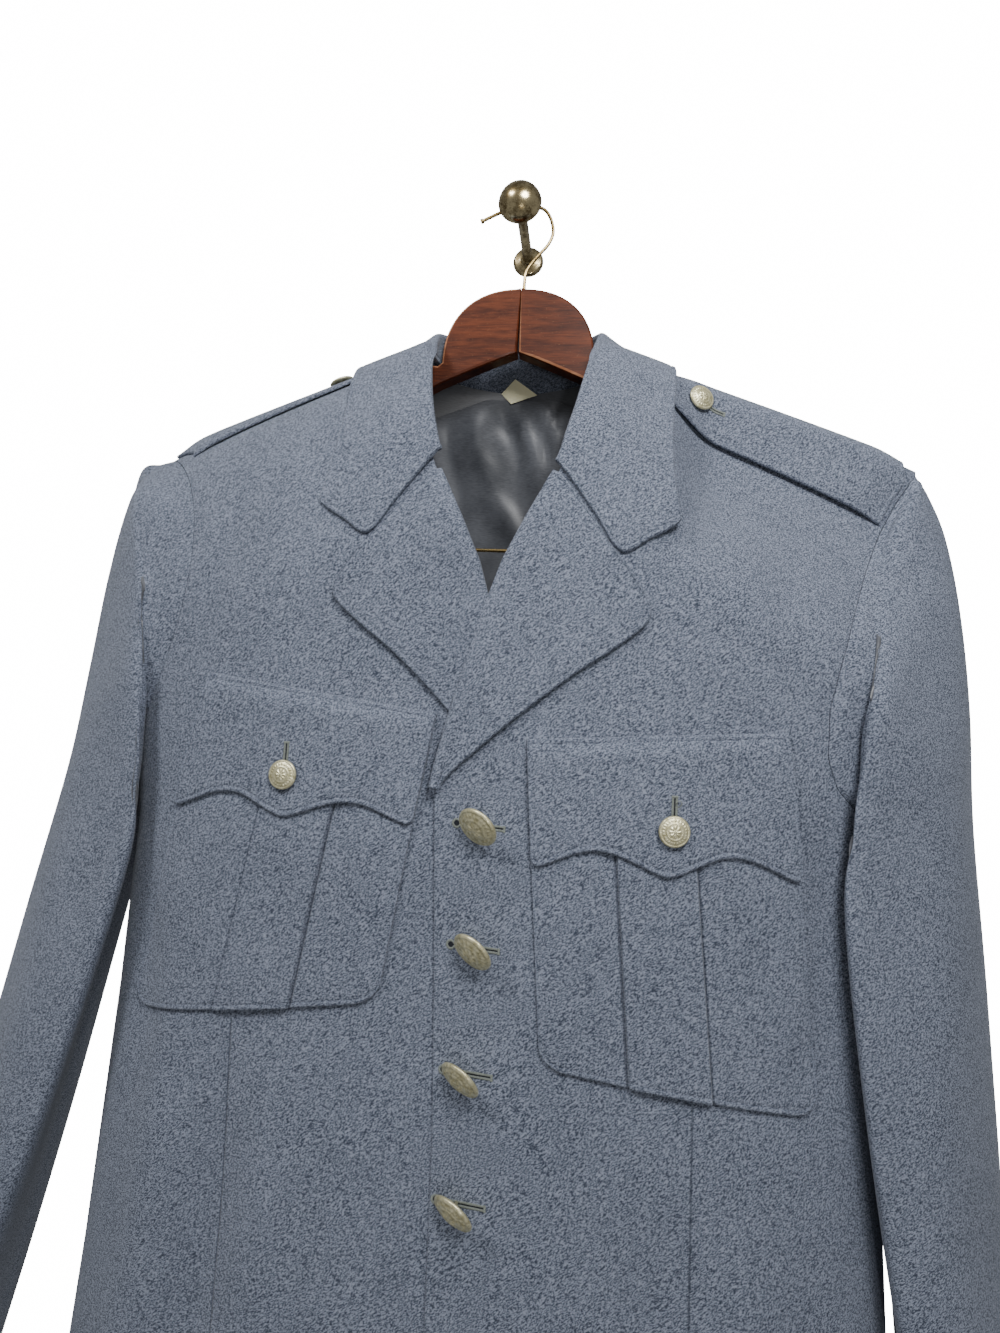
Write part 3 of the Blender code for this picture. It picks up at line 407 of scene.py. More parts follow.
# Columns of the soft folds: face, from x, from z, to x, to z, width, height (a trough is below zero).
FOLDS = (
    (1, 120.0, -190.0, 150.0, -318.0, 26.0, 1.6),
    (1, 160.0, -215.0, 172.0, -330.0, 15.0, -1.6),
    (1, 60.0, -250.0, 92.0, -330.0, 20.0, -0.9),
    (1, -118.0, -175.0, -150.0, -300.0, 24.0, 1.8),
    (1, -150.0, -190.0, -176.0, -310.0, 14.0, -1.8),
    (1, -80.0, -255.0, -104.0, -318.0, 18.0, -1.0),
    (1, -186.0, -420.0, -196.0, -560.0, 15.0, -3.0),
    (1, -168.0, -500.0, -190.0, -760.0, 20.0, 5.0),
    (1, -130.0, -505.0, -146.0, -800.0, 17.0, -5.5),
    (1, -98.0, -520.0, -104.0, -800.0, 17.0, 3.5),
    (1, -60.0, -500.0, -66.0, -800.0, 24.0, 2.0),
    (1, 176.0, -372.0, 190.0, -520.0, 14.0, -2.0),
    (1, 96.0, -560.0, 100.0, -820.0, 20.0, -2.4),
    (1, 152.0, -540.0, 160.0, -830.0, 22.0, 2.8),
    (1, 40.0, -560.0, 46.0, -830.0, 20.0, 1.8),
    (-1, -150.0, -200.0, -120.0, -420.0, 22.0, -2.4),
    (-1, 150.0, -200.0, 118.0, -430.0, 22.0, -2.4),
    (-1, -90.0, -330.0, -96.0, -720.0, 24.0, 2.8),
    (-1, 96.0, -350.0, 90.0, -740.0, 24.0, 2.6),
    (-1, -40.0, -420.0, -44.0, -800.0, 18.0, -2.2),
    (-1, 46.0, -440.0, 40.0, -800.0, 18.0, -2.0),
    (-1, -160.0, -480.0, -172.0, -820.0, 22.0, -2.8),
    (-1, 158.0, -500.0, 168.0, -820.0, 22.0, -2.6),
    (-1, 0.0, -118.0, 0.0, -170.0, 40.0, -1.4),
)


def ease(value, start, end):
    share = np.clip((value - start) / (end - start), 0.0, 1.0)
    return share * share * (3.0 - 2.0 * share)


def girth(z, column):
    return np.interp(z, GIRTHS[:, 0], GIRTHS[:, column])


def crown(drop, x, face):
    """The share of the full depth reached this far below the ridge; the front's right is steep."""
    down = np.clip(drop, 0.0, CROWN_HEIGHT)
    full = np.sqrt(1.0 - (1.0 - down / CROWN_HEIGHT) ** 2)
    ledge = 0.18 * np.sqrt(1.0 - (1.0 - np.minimum(down / 10.0, 1.0)) ** 2)
    steep = ease(x, 78.0, 125.0) * np.where(np.asarray(face) > 0, 1.0, 0.0)
    return full + (ledge + 0.82 * ease(down, 5.0, CROWN_HEIGHT) ** 1.3 - full) * steep


def depth(x, z, face):
    """How far the torso's front or back lies from the plane of the hanger."""
    roundness = girth(z, 4)
    across = np.minimum(np.abs(x) / girth(z, 1), 1.0) ** roundness
    reach = face * girth(z, 2 if face > 0 else 3) * (1.0 - across) ** (1.0 / roundness)
    return reach * crown(ridge(x) - z, x, face)


def excess(points):
    """Above zero outside the torso form, and below it inside."""
    x, f, z = points[..., 0], points[..., 1], points[..., 2]
    roundness = girth(z, 4)
    reach = np.where(f >= 0, girth(z, 2), girth(z, 3))
    across = (np.abs(x) / girth(z, 1)) ** roundness
    fall = (ridge(x) - z) / CROWN_HEIGHT
    wide = reach * np.maximum(1.0 - across, 1e-9) ** (1.0 / roundness)
    near_ridge = np.hypot(f / wide, 1.0 - fall) - 1.0
    drop = ridge(x) - z
    steep_ridge = f / wide - np.where(drop > 0, crown(drop, x, 1), drop * 0.05)
    near_ridge = np.where((f >= 0) & (x > 78.0), steep_ridge, near_ridge)
    along = (np.abs(f) / (reach * np.maximum(crown(drop, x, np.where(f >= 0, 1, -1)), 0.02))) ** roundness
    elsewhere = (across + along) ** (1.0 / roundness) - 1.0
    return np.where((fall < 0.3) & (across < 0.9), near_ridge, elsewhere)


def outward(points):
    """The excess form's gradient: its direction leads straight out of the torso."""
    steps = np.eye(3) * 0.05
    return np.stack([(excess(points + s) - excess(points - s)) / 0.1 for s in steps], -1)


def unit(vectors):
    return vectors / np.maximum(np.linalg.norm(vectors, axis=-1, keepdims=True), 1e-9)


def push_out(points, clear):
    """Moves points straight out until they are this far clear of the torso form."""
    moved = np.array(points, float)
    for _ in range(16):
        gradient = outward(moved)
        short = clear - excess(moved) / np.linalg.norm(gradient, axis=-1)
        step = np.where(short < 0.01, 0.0, np.minimum(short, 4.0))
        moved += unit(gradient) * step[..., None]
    return moved


def fold_height(x, z, face):
    """The soft folds' sum at this place; each wanders a little and dies out towards both ends."""
    total = np.zeros(np.broadcast(x, z).shape)
    for number, (side, x0, z0, x1, z1, width, height) in enumerate(FOLDS):
        if side != face:
            continue
        run = np.array((x1 - x0, z1 - z0))
        length = float(np.hypot(*run))
        way = run / length
        along = ((x - x0) * way[0] + (z - z0) * way[1]) / length
        off = (x - x0) * way[1] - (z - z0) * way[0]
        off = off + 3.5 * np.sin(along * 5.3 + number * 1.7)
        slim = width * (0.75 + 0.4 * np.clip(along, 0.0, 1.0))
        ends = ease(along, -0.12, 0.35) * (1.0 - ease(along, 0.62, 1.15))
        total = total + height * np.exp(-((off / slim) ** 2)) * ends
    return total


def ridge_x(z, side):
    """How far out the shoulder ridge passes this height."""
    places = np.linspace(0.0, 400.0, 1601)
    return np.interp(-np.asarray(z, float), -ridge(side * places), places)


# Columns of the armhole's front edge on the viewer's right: z, x.
RIGHT_ARMHOLE = np.array((
    (-378.0, 224.4), (-375.0, 217.0), (-368.0, 204.0), (-355.0, 190.0), (-339.0, 184.0), (-313.0, 184.0),
    (-288.0, 190.0), (-263.0, 198.0), (-236.0, 208.5), (-206.0, 222.0), (-182.0, 235.0), (-170.0, 243.0),
    (-165.0, 247.6),
))


def outer_x(z, face, side):
    """The outer end of a panel's row: shoulder seam, armhole or side seam, from the top down."""
    z = np.asarray(z, float)
    end = np.minimum(girth(z, 1), ridge_x(z, side))
    if face > 0 and side > 0:
        hole = np.minimum(np.interp(z, RIGHT_ARMHOLE[:, 0], RIGHT_ARMHOLE[:, 1]), end)
        return np.where((z < ARM_TOP_Z) & (z > ARM_LOW_Z), hole, end)
    share = np.clip((z - ARM_MIDDLE_Z) / ARM_HALF, -1.0, 1.0)
    reach = (57.0 if face > 0 else 32.0) * np.sqrt(1.0 - share * share)
    low, high = np.full_like(end, 60.0), end.copy()
    for _ in range(36):
        middle = (low + high) / 2
        deeper = np.abs(depth(side * middle, z, face)) > reach
        low, high = np.where(deeper, middle, low), np.where(deeper, high, middle)
    return np.where((z < ARM_TOP_Z) & (z > ARM_LOW_Z), low, end)


def tuck(side, x, z):
    """How far the under front lies beneath the form where the top front and lapels cross it."""
    if side > 0:
        return 0.0
    layers = 2.7 + 3.2 * ease(z, -400.0, -350.0)
    return layers * np.clip((x + 54.0) / 32.0, 0.0, 1.0) * (1.0 - ease(z, -262.0, -215.0))


def torso(x, z, face, lift=0.0, side=1):
    """Points on the torso's cloth at these places, moved straight out by lift."""
    x, z = np.broadcast_arrays(np.asarray(x, float), np.asarray(z, float))
    f = depth(x, z, face)
    f = np.where(np.abs(f) < SEAM, face * SEAM / 2, f)
    flat = np.stack((x, f, z), -1)
    normal = outward(flat)
    normal[..., 0] = np.where(np.abs(x) < SEAM, 0.0, normal[..., 0])
    normal = unit(normal)
    shoulder_end = np.where(x > 0, ridge_x(z, 1), ridge_x(z, -1))
    top = ((z > ARM_TOP_Z - 1.0) & (np.abs(x) > shoulder_end - 0.5))[..., None]
    on_ridge = np.stack((x, np.full(x.shape, face * SEAM / 2), ridge(x)), -1)
    up = unit(np.stack((0.4 * np.sign(x), np.zeros(x.shape), np.ones(x.shape)), -1))
    flat, normal = np.where(top, on_ridge, flat), np.where(top, up, normal)
    down = tuck(side, x, z) if face > 0 else 0.0
    armhole = np.where(x > 0, outer_x(z, face, 1), outer_x(z, face, -1))
    rim = np.where((z < ARM_TOP_Z) & (z > ARM_LOW_Z), armhole, 1e3) - np.abs(x)
    calm = ease(rim, 0.0, 26.0) * ease(ridge(x) - z, 6.0, 60.0)
    height = fold_height(x, z, face) * calm
    return flat + normal * (lift - down + height)[..., None]


def lengths(grid, axis):
    """How far each point lies from its row's or column's first point."""
    steps = np.linalg.norm(np.diff(grid, axis=axis), axis=-1)
    return np.concatenate((np.zeros_like(np.take(steps, [0], axis)), np.cumsum(steps, axis)), axis)


STITCH_INSET = 3.2


def soft_rim(grid, radius, wrap=False):
    """A wall's share of its thickness near its edges, which are rounded and drawn in by a sewn line."""
    down = lengths(grid, 0)
    near = np.minimum(down, down[-1:] - down)
    if not wrap:
        across = lengths(grid, 1)
        near = np.minimum(near, np.minimum(across, across[:, -1:] - across))
    left = 1.0 - np.clip(near / radius, 0.0, 1.0)
    sewn = 1.0 - 0.24 * np.exp(-(((near - STITCH_INSET) / 0.7) ** 2))
    return np.maximum(np.sqrt(1.0 - left * left), 0.25) * sewn


def fine_steps(count, length, radius=1.3):
    """Shares from 0 to 1 with extra rows close to both ends, where an edge turns round and is sewn."""
    close = [radius * s / length for s in (0.0, 0.15, 0.45, 1.0)]
    close += [s / length for s in (1.9, 2.5, 3.0, 3.4, 3.9, 4.6)]
    inner = np.linspace(close[-1], 1.0 - close[-1], count)
    return np.array([*close[:-1], *inner, *(1.0 - s for s in reversed(close[:-1]))])


def shell(name, under, over, wrap=False, start_u=None):
    """A closed wall between two like grids of garment points, with a UV map in metres of cloth."""
    rows, columns = under.shape[:2]
    spans = columns if wrap else columns - 1
    u = lengths(over, 1) + (0.0 if start_u is None else np.asarray(start_u)[:, None])
    v = -lengths(over, 0)
    points = np.concatenate((in_metres(under).reshape(-1, 3), in_metres(over).reshape(-1, 3)))
    r, c = np.meshgrid(np.arange(rows - 1), np.arange(spans), indexing="ij")
    after = (c + 1) % columns
    high, low = r * columns, (r + 1) * columns
    quads = np.stack((high + c, high + after, low + after, low + c), -1).reshape(-1, 4)
    size = rows * columns
    lines = [np.arange(columns), np.arange(columns) + (rows - 1) * columns]
    if not wrap:
        lines += [np.arange(rows) * columns, np.arange(rows) * columns + columns - 1]
    rim = []
    for line in lines:
        ends = np.roll(line, -1) if wrap else line[1:]
        begins = line if wrap else line[:-1]
        rim.append(np.stack((begins, ends, ends + size, begins + size), -1))
    faces = np.concatenate((quads, quads + size, *rim))
    mesh = bpy.data.meshes.new(name)
    mesh.from_pydata(points.tolist(), [], faces.tolist())
    inner = np.zeros(len(faces), dtype=np.int32)
    inner[:len(quads)] = 1
    mesh.polygons.foreach_set("material_index", inner)
    layer = mesh.uv_layers.new(name="cloth")
    flat_uv = np.stack((np.broadcast_to(u, (rows, columns)), v), -1).reshape(-1, 2) * 0.001
    both = np.concatenate((flat_uv, flat_uv))
    corner = np.empty(len(mesh.loops), dtype=np.int32)
    mesh.loops.foreach_get("vertex_index", corner)
    layer.data.foreach_set("uv", both[corner].ravel())
    build = bmesh.new()
    build.from_mesh(mesh)
    finished(build, mesh)
    mesh.set_sharp_from_angle(angle=math.radians(60))
    return mesh


def sewn(name, under, over, outside, inside, slot, *replaced, **layout):
    """A piece of cloth between two grids, handed to the frame with its two materials."""
    mesh = shell(name, under, over, **layout)
    mesh.materials.append(outside)
    mesh.materials.append(inside)
    return hand_over(name, mesh, slot, *replaced)


def thicker(grid, thickness, wrap=False, flip=False):
    """The grid moved along its own normals."""
    if wrap:
        along = np.roll(grid, -1, 1) - np.roll(grid, 1, 1)
    else:
        along = np.gradient(grid, axis=1)
    normal = unit(np.cross(along, np.gradient(grid, axis=0)))
    return grid + normal * (np.asarray(thickness) * (-1.0 if flip else 1.0))[..., None]


def serge(name, darts=()):
    """Heathered wool twill; darts are sewn lines as (x0, z0, x1, z1) in garment millimetres, pressed in by a
    bump and darkened with painted shade.
    """
    material, nodes, shader = new_material(name, roughness=0.92, sheen_weight=0.18, sheen_roughness=0.45,
                                           specular_ior_level=0.25)
    shader.inputs["Sheen Tint"].default_value = (0.90, 0.94, 1.0, 1.0)
    place = nodes.object_place()
    slant = nodes.node("ShaderNodeMapping", {}, {"Vector": place, "Rotation": (0.0, math.radians(38), 0.0)})
    fibres = nodes.noise(slant.stretched(620.0, 1500.0, 1900.0), 1.0, 3.0, 0.6)
    specks = nodes.noise(place, 1500.0, 3.0, 0.7)
    patches = nodes.noise(place, 26.0, 3.0, 0.55)
    heather = (fibres * 0.55 + specks * 0.45).ramp(0.43, 0.58)
    tone = heather * 0.84 + patches * 0.16
    color = tone.blend((0.020, 0.028, 0.047, 1.0), (0.315, 0.352, 0.445, 1.0))
    height = fibres * 0.55 + specks * 0.45
    if darts:
        x = nodes.node("ShaderNodeSeparateXYZ", {}, {0: place}, 0)
        z = nodes.node("ShaderNodeSeparateXYZ", {}, {0: place}, 2)
        shaded_groove = None
        for x0, z0, x1, z1 in darts:
            (x0, z0), (x1, z1) = (((GARMENT_AT[0] + a) / 1000, (GARMENT_AT[2] + b) / 1000)
                                  for a, b in ((x0, z0), (x1, z1)))
            slope = (x1 - x0) / (z1 - z0)
            off = x - x0 - (z - z0) * slope
            off = off.maths("ABSOLUTE", off)
            line = (1.0 - off.ramp(0.0, 0.0009)) * (1.0 - z.ramp(z0 - 0.002, z0)) * z.ramp(z1 - 0.006, z1)
            shaded_groove = line if shaded_groove is None else shaded_groove + line
        # Each line's colour is pulled toward a near-black blue: painted shade along the sewn line.
        color = shaded_groove.node("ShaderNodeMix", {"data_type": "RGBA"},
                            {"Factor": shaded_groove * 0.6, 6: color, 7: (0.03, 0.04, 0.065, 1.0)}, 2)
        height = height - shaded_groove * 1.6
    feed(color, shader, "Base Color")
    bump(height, shader, 0.9, 0.0004)
    return material


def satin(name, dark, light):
    material, nodes, shader = new_material(name, specular_ior_level=0.6, sheen_weight=0.1)
    place = nodes.object_place()
    threads = nodes.noise(place.stretched(300.0, 300.0, 2400.0), 1.0, 2.0)
    shine = (nodes.noise(place, 30.0, 3.0) * 0.6 + threads * 0.4).ramp(0.3, 0.7)
    feed(shine.blend((*dark, 1.0), (*light, 1.0)), shader, "Base Color")
    feed(0.28 + 0.12 * threads, shader, "Roughness")
    bump(threads, shader, 0.12)
    return material


wool = serge("blue grey serge")
charcoal_satin = satin("charcoal satin", (0.050, 0.054, 0.064), (0.125, 0.132, 0.150))
shoulder_rows = np.linspace(-96.0, -163.0, 26)
arm_rows = ARM_MIDDLE_Z + ARM_HALF * np.cos(np.linspace(0.0, math.pi, 64))
skirt_rows = [*np.arange(-381.0, HEM_Z + 2.0, -4.6), HEM_Z + 1.3, HEM_Z + 0.6, HEM_Z + 0.2, HEM_Z]
panel_rows = np.array([*shoulder_rows, *arm_rows, *skirt_rows])


def panel(name, face, side, inner_edge, replaced, cloth):
    """One shell panel from its inner edge to the shoulder, armhole and side seam."""
    start = inner_edge(panel_rows)
    end = side * outer_x(panel_rows, face, side)
    steps = fine_steps(74, 200.0)
    steps = np.where(steps < 0.1, steps, np.sin(math.pi / 2 * (steps - 0.1) / 0.9) * 0.9 + 0.1)
    steps = np.maximum.accumulate(np.clip(steps, 0.0, 1.0))
    x = start[:, None] + (end - start)[:, None] * steps[None, :]
    z = np.broadcast_to(panel_rows[:, None], x.shape)
    to_edge = np.minimum(np.abs(x - start[:, None]), z - HEM_Z)
    near = 1.0 - np.clip(to_edge / 1.2, 0.0, 1.0)
    round_edge = 1.3 * (1.0 - np.sqrt(1.0 - near * near)) if face > 0 else 0.0 * x
    over = torso(x, z, face, -round_edge, side)
    under = torso(x, z, face, -CLOTH, side)
    return sewn(name, under, over, cloth, charcoal_satin, "serge", replaced, start_u=start)


def back_edge(side):
    def inner(z):
        hollow = 56.0 * np.sqrt(np.maximum(0.0, 1.0 - ((-96.0 - z) / 6.5) ** 2))
        return side * np.where(z > -102.5, np.maximum(hollow, SEAM / 2), SEAM / 2)
    return inner


for side, hand in HANDS.items():
    made = panel(f"back_{hand}_cloth", -1, side, back_edge(side), f"back_{hand}", wool)

# The lining is charcoal satin cut a little long, so that it hangs inside the back in loose creases.
# Columns of its creases: from x, from z, to x, to z, width, height.
LINING_CREASES = (
    (14.0, -108.0, 40.0, -190.0, 5.0, 3.4),
    (26.0, -104.0, 22.0, -150.0, 4.5, -2.6),
    (-34.0, -112.0, -18.0, -170.0, 7.0, 2.6),
    (-50.0, -120.0, -40.0, -190.0, 6.0, -2.0),
    (-12.0, -110.0, 2.0, -160.0, 6.0, -2.0),
    (2.0, -112.0, 24.0, -205.0, 6.5, 3.0),
    (-30.0, -165.0, 20.0, -215.0, 9.0, 2.4),
    (40.0, -120.0, 60.0, -220.0, 8.0, -2.0),
    (-70.0, -150.0, -60.0, -260.0, 10.0, 2.0),
)


def lining_height(x, z):
    total = np.zeros(x.shape)
    for number, (x0, z0, x1, z1, width, height) in enumerate(LINING_CREASES):
        length = math.hypot(x1 - x0, z1 - z0)
        way = ((x1 - x0) / length, (z1 - z0) / length)
        along = ((x - x0) * way[0] + (z - z0) * way[1]) / length
        off = (x - x0) * way[1] - (z - z0) * way[0] + 2.5 * np.sin(along * 6.0 + number)
        ends = ease(along, -0.1, 0.3) * (1.0 - ease(along, 0.6, 1.2))
        total += height * np.exp(-((off / width) ** 2)) * ends
    return total


share = np.linspace(0.0, 1.0, 170)[:, None]
lining_x = np.linspace(-172.0, 172.0, 110)[None, :]
lining_top = np.minimum(-107.0, ridge(lining_x) - 28.0)
lining_z = lining_top + (HEM_Z + 22.0 - lining_top) * share**1.15
lining_x = np.broadcast_to(lining_x, lining_z.shape)
loose = 3.4 + lining_height(lining_x, lining_z)
sewn_top = 1.0 - ease(lining_top - lining_z, -8.0, 14.0)
loose = np.maximum(loose, 1.2) * (1.0 - sewn_top) + sewn_top
lining_over = torso(lining_x, lining_z, -1, -CLOTH - loose)
lining_under = torso(lining_x, lining_z, -1, -CLOTH - loose - 0.7)
lining = sewn("lining_satin", lining_under, lining_over, charcoal_satin, charcoal_satin, "satin",
              "back_lining")

# The fronts are the same serge over canvas. The one on the viewer's right laps over, its closing edge
# turned and pressed, and the other runs on beneath it; a dart is sewn below each pocket, its line darkened
# with painted shade.
# Columns of the closing edge: z, x.
FRONT_EDGE = np.array((
    (-853.0, -6.0), (-548.0, -12.5), (-450.0, -17.5), (-368.0, -22.5), (-335.0, -16.0), (-300.0, -8.0),
    (-270.0, 0.0), (-241.0, 8.5), (-217.0, 19.5), (-184.0, 36.5), (-166.0, 41.5), (-145.0, 46.5),
    (-123.0, 51.0), (-104.0, 55.0), (-96.0, 59.0),
))
DARTS = ((119.0, -516.0, 122.0, -680.0), (-129.5, -498.0, -127.0, -680.0))


def front_edge(side):
    def inner(z):
        edge = np.interp(z, FRONT_EDGE[:, 0], FRONT_EDGE[:, 1])
        return edge if side > 0 else np.minimum(-edge, 17.0)
    return inner


front_wool = serge("blue grey serge with shaded darts", DARTS)
for side, hand in HANDS.items():
    made = panel(f"front_{hand}_cloth", 1, side, front_edge(side), f"front_{hand}", front_wool)

# Each sleeve is a tube of serge set into the armhole, a little fuller than the hole so that its head
# rolls over the seam, and it hangs with a shallow break in front of the elbow.
# Columns of the sleeve's rings: outer_x, outer_z, inner_x, inner_z, front, back, front_in.
SLEEVE_RINGS = (
    (248.0, -178.0, 222.0, -382.0, 57.0, -36.0, 30.0),
    (258.0, -204.0, 223.0, -388.0, 60.0, -38.0, 38.0),
    (267.0, -248.0, 225.0, -398.0, 62.0, -40.0, 46.0),
    (275.0, -308.0, 227.0, -414.0, 64.0, -42.0, 54.0),
    (281.0, -376.0, 229.0, -440.0, 64.0, -43.0, 58.0),
    (290.0, -470.0, 234.0, -508.0, 63.0, -42.0, 54.0),
    (298.0, -570.0, 240.0, -592.0, 60.0, -40.0, 44.0),
    (305.0, -672.0, 248.0, -682.0, 57.0, -36.0, 30.0),
    (311.0, -766.0, 257.0, -766.0, 54.0, -32.0, 18.0),
)
# Columns of the sleeve's folds: place down the sleeve (0 to 1), angle, run, slant, width, height.
SLEEVE_FOLDS = (
    (0.10, 62.0, 0.16, 20.0, 16.0, -3.2),
    (0.20, 40.0, 0.22, -24.0, 18.0, 3.0),
    (0.34, 100.0, 0.14, 46.0, 13.0, -2.6),
    (0.44, 70.0, 0.16, -40.0, 13.0, 2.6),
    (0.50, 120.0, 0.12, 30.0, 12.0, -2.8),
    (0.58, 85.0, 0.12, -34.0, 12.0, -2.4),
    (0.66, 40.0, 0.20, 22.0, 16.0, 2.2),
    (0.80, 90.0, 0.16, 16.0, 15.0, -2.0),
    (0.22, 250.0, 0.20, 26.0, 18.0, -3.0),
    (0.42, 285.0, 0.16, -30.0, 15.0, 2.8),
    (0.50, 250.0, 0.14, 34.0, 13.0, -2.8),
    (0.64, 280.0, 0.18, -18.0, 16.0, -2.2),
    (0.15, 340.0, 0.14, 12.0, 15.0, 2.0),
    (0.82, 300.0, 0.18, 10.0, 16.0, 2.0),
)
SLEEVE_SIDES = 96
SLEEVE_ROWS = 14
SLEEVE_CLOTH = 1.8


def sleeve_folds(down, angle):
    total = np.zeros(np.broadcast(down, angle).shape)
    for place, at, run, slant, width, height in SLEEVE_FOLDS:
        along = (down - place) / run
        off = (angle - at - slant * along + 180.0) % 360.0 - 180.0
        total += height * np.exp(-((off / width) ** 2)) * np.exp(-(along**2))
    return total


def sleeve_clear(points, side):
    return 2.4 + (2.0 * ease(-points[:, 2], 345.0, 375.0) if side > 0 else 0.0)


for side, hand, splay in ((1, "right", 0.0), (-1, "left", 0.12)):
    angles = 2 * math.pi * np.arange(SLEEVE_SIDES) / SLEEVE_SIDES
    face_up = np.sin(angles) >= 0
    z = ARM_MIDDLE_Z + ARM_HALF * np.cos(angles)
    x = side * np.where(face_up, outer_x(z, 1, side), outer_x(z, -1, side))
    edge = np.where(face_up[:, None], torso(x, z, 1), torso(x, z, -1))
    below = np.where(face_up[:, None], torso(x, z, 1, -SLEEVE_CLOTH), torso(x, z, -1, -SLEEVE_CLOTH))
    along = np.roll(edge, -1, 0) - np.roll(edge, 1, 0)
    away = unit(np.cross(along, edge - below))
    to_hole = np.array((side * 260.0, 0.0, ARM_MIDDLE_Z)) - edge
    away *= np.sign((away * to_hole).sum(-1, keepdims=True))
    rings = []
    for row in SLEEVE_RINGS:
        outer = np.array((row[0] + splay * max(0.0, -340.0 - row[1]), 0.0, row[1]))
        inner = np.array((row[2] + splay * max(0.0, -340.0 - row[3]), 0.0, row[3]))
        outer[0] += 6.0 * (1.0 - float(ease(-row[1], 190.0, 420.0))) if side > 0 else 0.0
        sine = np.sin(angles)[:, None]
        reach = np.where(sine > 0, row[4], -row[5]) * sine
        shift = -row[6] * np.maximum(sine, 0.0) ** 1.5
        ring = (outer + inner) / 2 + (outer - inner) / 2 * np.cos(angles)[:, None]
        ring = ring + np.concatenate((shift, reach, np.zeros_like(sine)), 1)
        ring[:, 0] *= side
        if side > 0:
            flat_head = 0.42 + 0.58 * ease(-ring[:, 2], 190.0, 310.0)
            ring[:, 1] *= np.where(ring[:, 1] > 0, flat_head, 1.0)
        rings.append(push_out(ring, sleeve_clear(ring, side)))
    start = edge + away * SEAM
    eased = start * 0.62 + rings[0] * 0.38
    eased = push_out(eased, sleeve_clear(eased, side))
    stack = curve_through(np.array([start, eased, *rings]).reshape(len(rings) + 2, -1), SLEEVE_ROWS)
    stack = stack.reshape(-1, SLEEVE_SIDES, 3)
    down = np.linspace(0.0, 1.0, len(stack))[:, None]
    folds = sleeve_folds(down, np.degrees(angles)[None, :])
    folds = folds * ease(down, 0.05, 0.16) * (1.0 - ease(down, 0.93, 1.0))
    room = excess(stack) / np.linalg.norm(outward(stack), axis=-1)
    folds = np.where(folds < 0, folds * np.clip(room / 9.0, 0.0, 1.0), folds)
    stack = thicker(stack, folds, wrap=True, flip=side > 0)
    inside = thicker(stack, np.full(stack.shape[:2], SLEEVE_CLOTH), wrap=True, flip=side < 0)
    inside[0] = below + away * (SEAM + 0.5)
    made = sewn(f"sleeve_{hand}_cloth", inside, stack, wool, charcoal_satin, "serge", f"sleeve_{hand}",
                wrap=True)

# The collar is one strip of doubled serge with its stand sewn into the neck seam. It rolls over a crest
# and falls on the shoulders, its leaf pressed flat and its front corners turned and rounded.
# Columns: neck seam, crest, middle and edge of the under side as (x, f, z), and how far it clears the cloth.
COLLAR_STATIONS = (
    ((0, -32, -101), (0, -36, -68), (0, -43, -92), (0, -46, -118), 1.2),
    ((27, -29, -101), (27, -33, -69), (34, -41, -92), (40, -44, -116), 1.2),
    ((46, -17, -98), (46, -15, -72), (62, -26, -91), (74, -33, -112), 4.5),
    ((54, 4, -96), (53.5, 3, -78), (74, -3, -91), (92, -10, -106), 5.0),
    ((54, 28, -103), (50.5, 26, -98), (75, 25, -106), (97, 18, -117), 5.4),
    ((50, 45, -123), (47, 47, -123), (73, 47, -135), (97, 41, -144), 1.2),
    ((45.5, 56, -145), (43, 58, -146), (70, 60, -163), (97, 55, -169), 0.6),
    ((40.5, 62, -166), (38.5, 65, -168), (68, 67, -200), (99, 62, -195), 0.6),
    ((35.5, 66, -184), (34, 68, -184.5), (70.5, 70, -234.5), (103, 66, -217), 0.6),
)
LEFT_RISE = 7.0
COLLAR_CLOTH, LAPEL_CLOTH = 2.1, 1.9


def collar_row(seam, crest, middle, edge, clear, side):
    placed = []
    for x, f, z in (seam, crest, middle, edge):
        rise = LEFT_RISE * float(ease(-z, 120.0, 200.0)) if side < 0 else 0.0
        placed.append(np.array((-x, f, z + rise)))
    seam, crest, middle, edge = placed
    fold = crest + (middle - crest) * 0.18 + np.array((0.0, 0.0, 0.8))
    path = list(curve_through([seam, seam + (crest - seam) * 0.6, crest, fold], 2))
    path += [(fold + middle) / 2, middle, (middle + edge) / 2, edge]
    fall = push_out(np.array(path[6:]), clear)
    return np.concatenate((np.array(path[:6]), fall)) * np.array((-side, 1.0, 1.0))


def finer(grid, row_steps, column_steps):
    """The grid with curved rows and columns put in between."""
    rows, columns = grid.shape[:2]
    grid = curve_through(grid.reshape(rows, -1), row_steps).reshape(-1, columns, 3)
    grid = curve_through(grid.transpose(1, 0, 2).reshape(columns, -1), column_steps)
    return grid.reshape(-1, (rows - 1) * row_steps + 1, 3).transpose(1, 0, 2)


def sample(grid, rows, columns):
    """Points read from a grid at fractional row and column numbers."""
    r0 = np.clip(np.floor(rows).astype(int), 0, grid.shape[0] - 2)
    c0 = np.clip(np.floor(columns).astype(int), 0, grid.shape[1] - 2)
    r, c = (rows - r0)[..., None], (columns - c0)[..., None]
    top = grid[r0, c0] * (1 - c) + grid[r0, c0 + 1] * c
    low = grid[r0 + 1, c0] * (1 - c) + grid[r0 + 1, c0 + 1] * c
    return top * (1 - r) + low * r


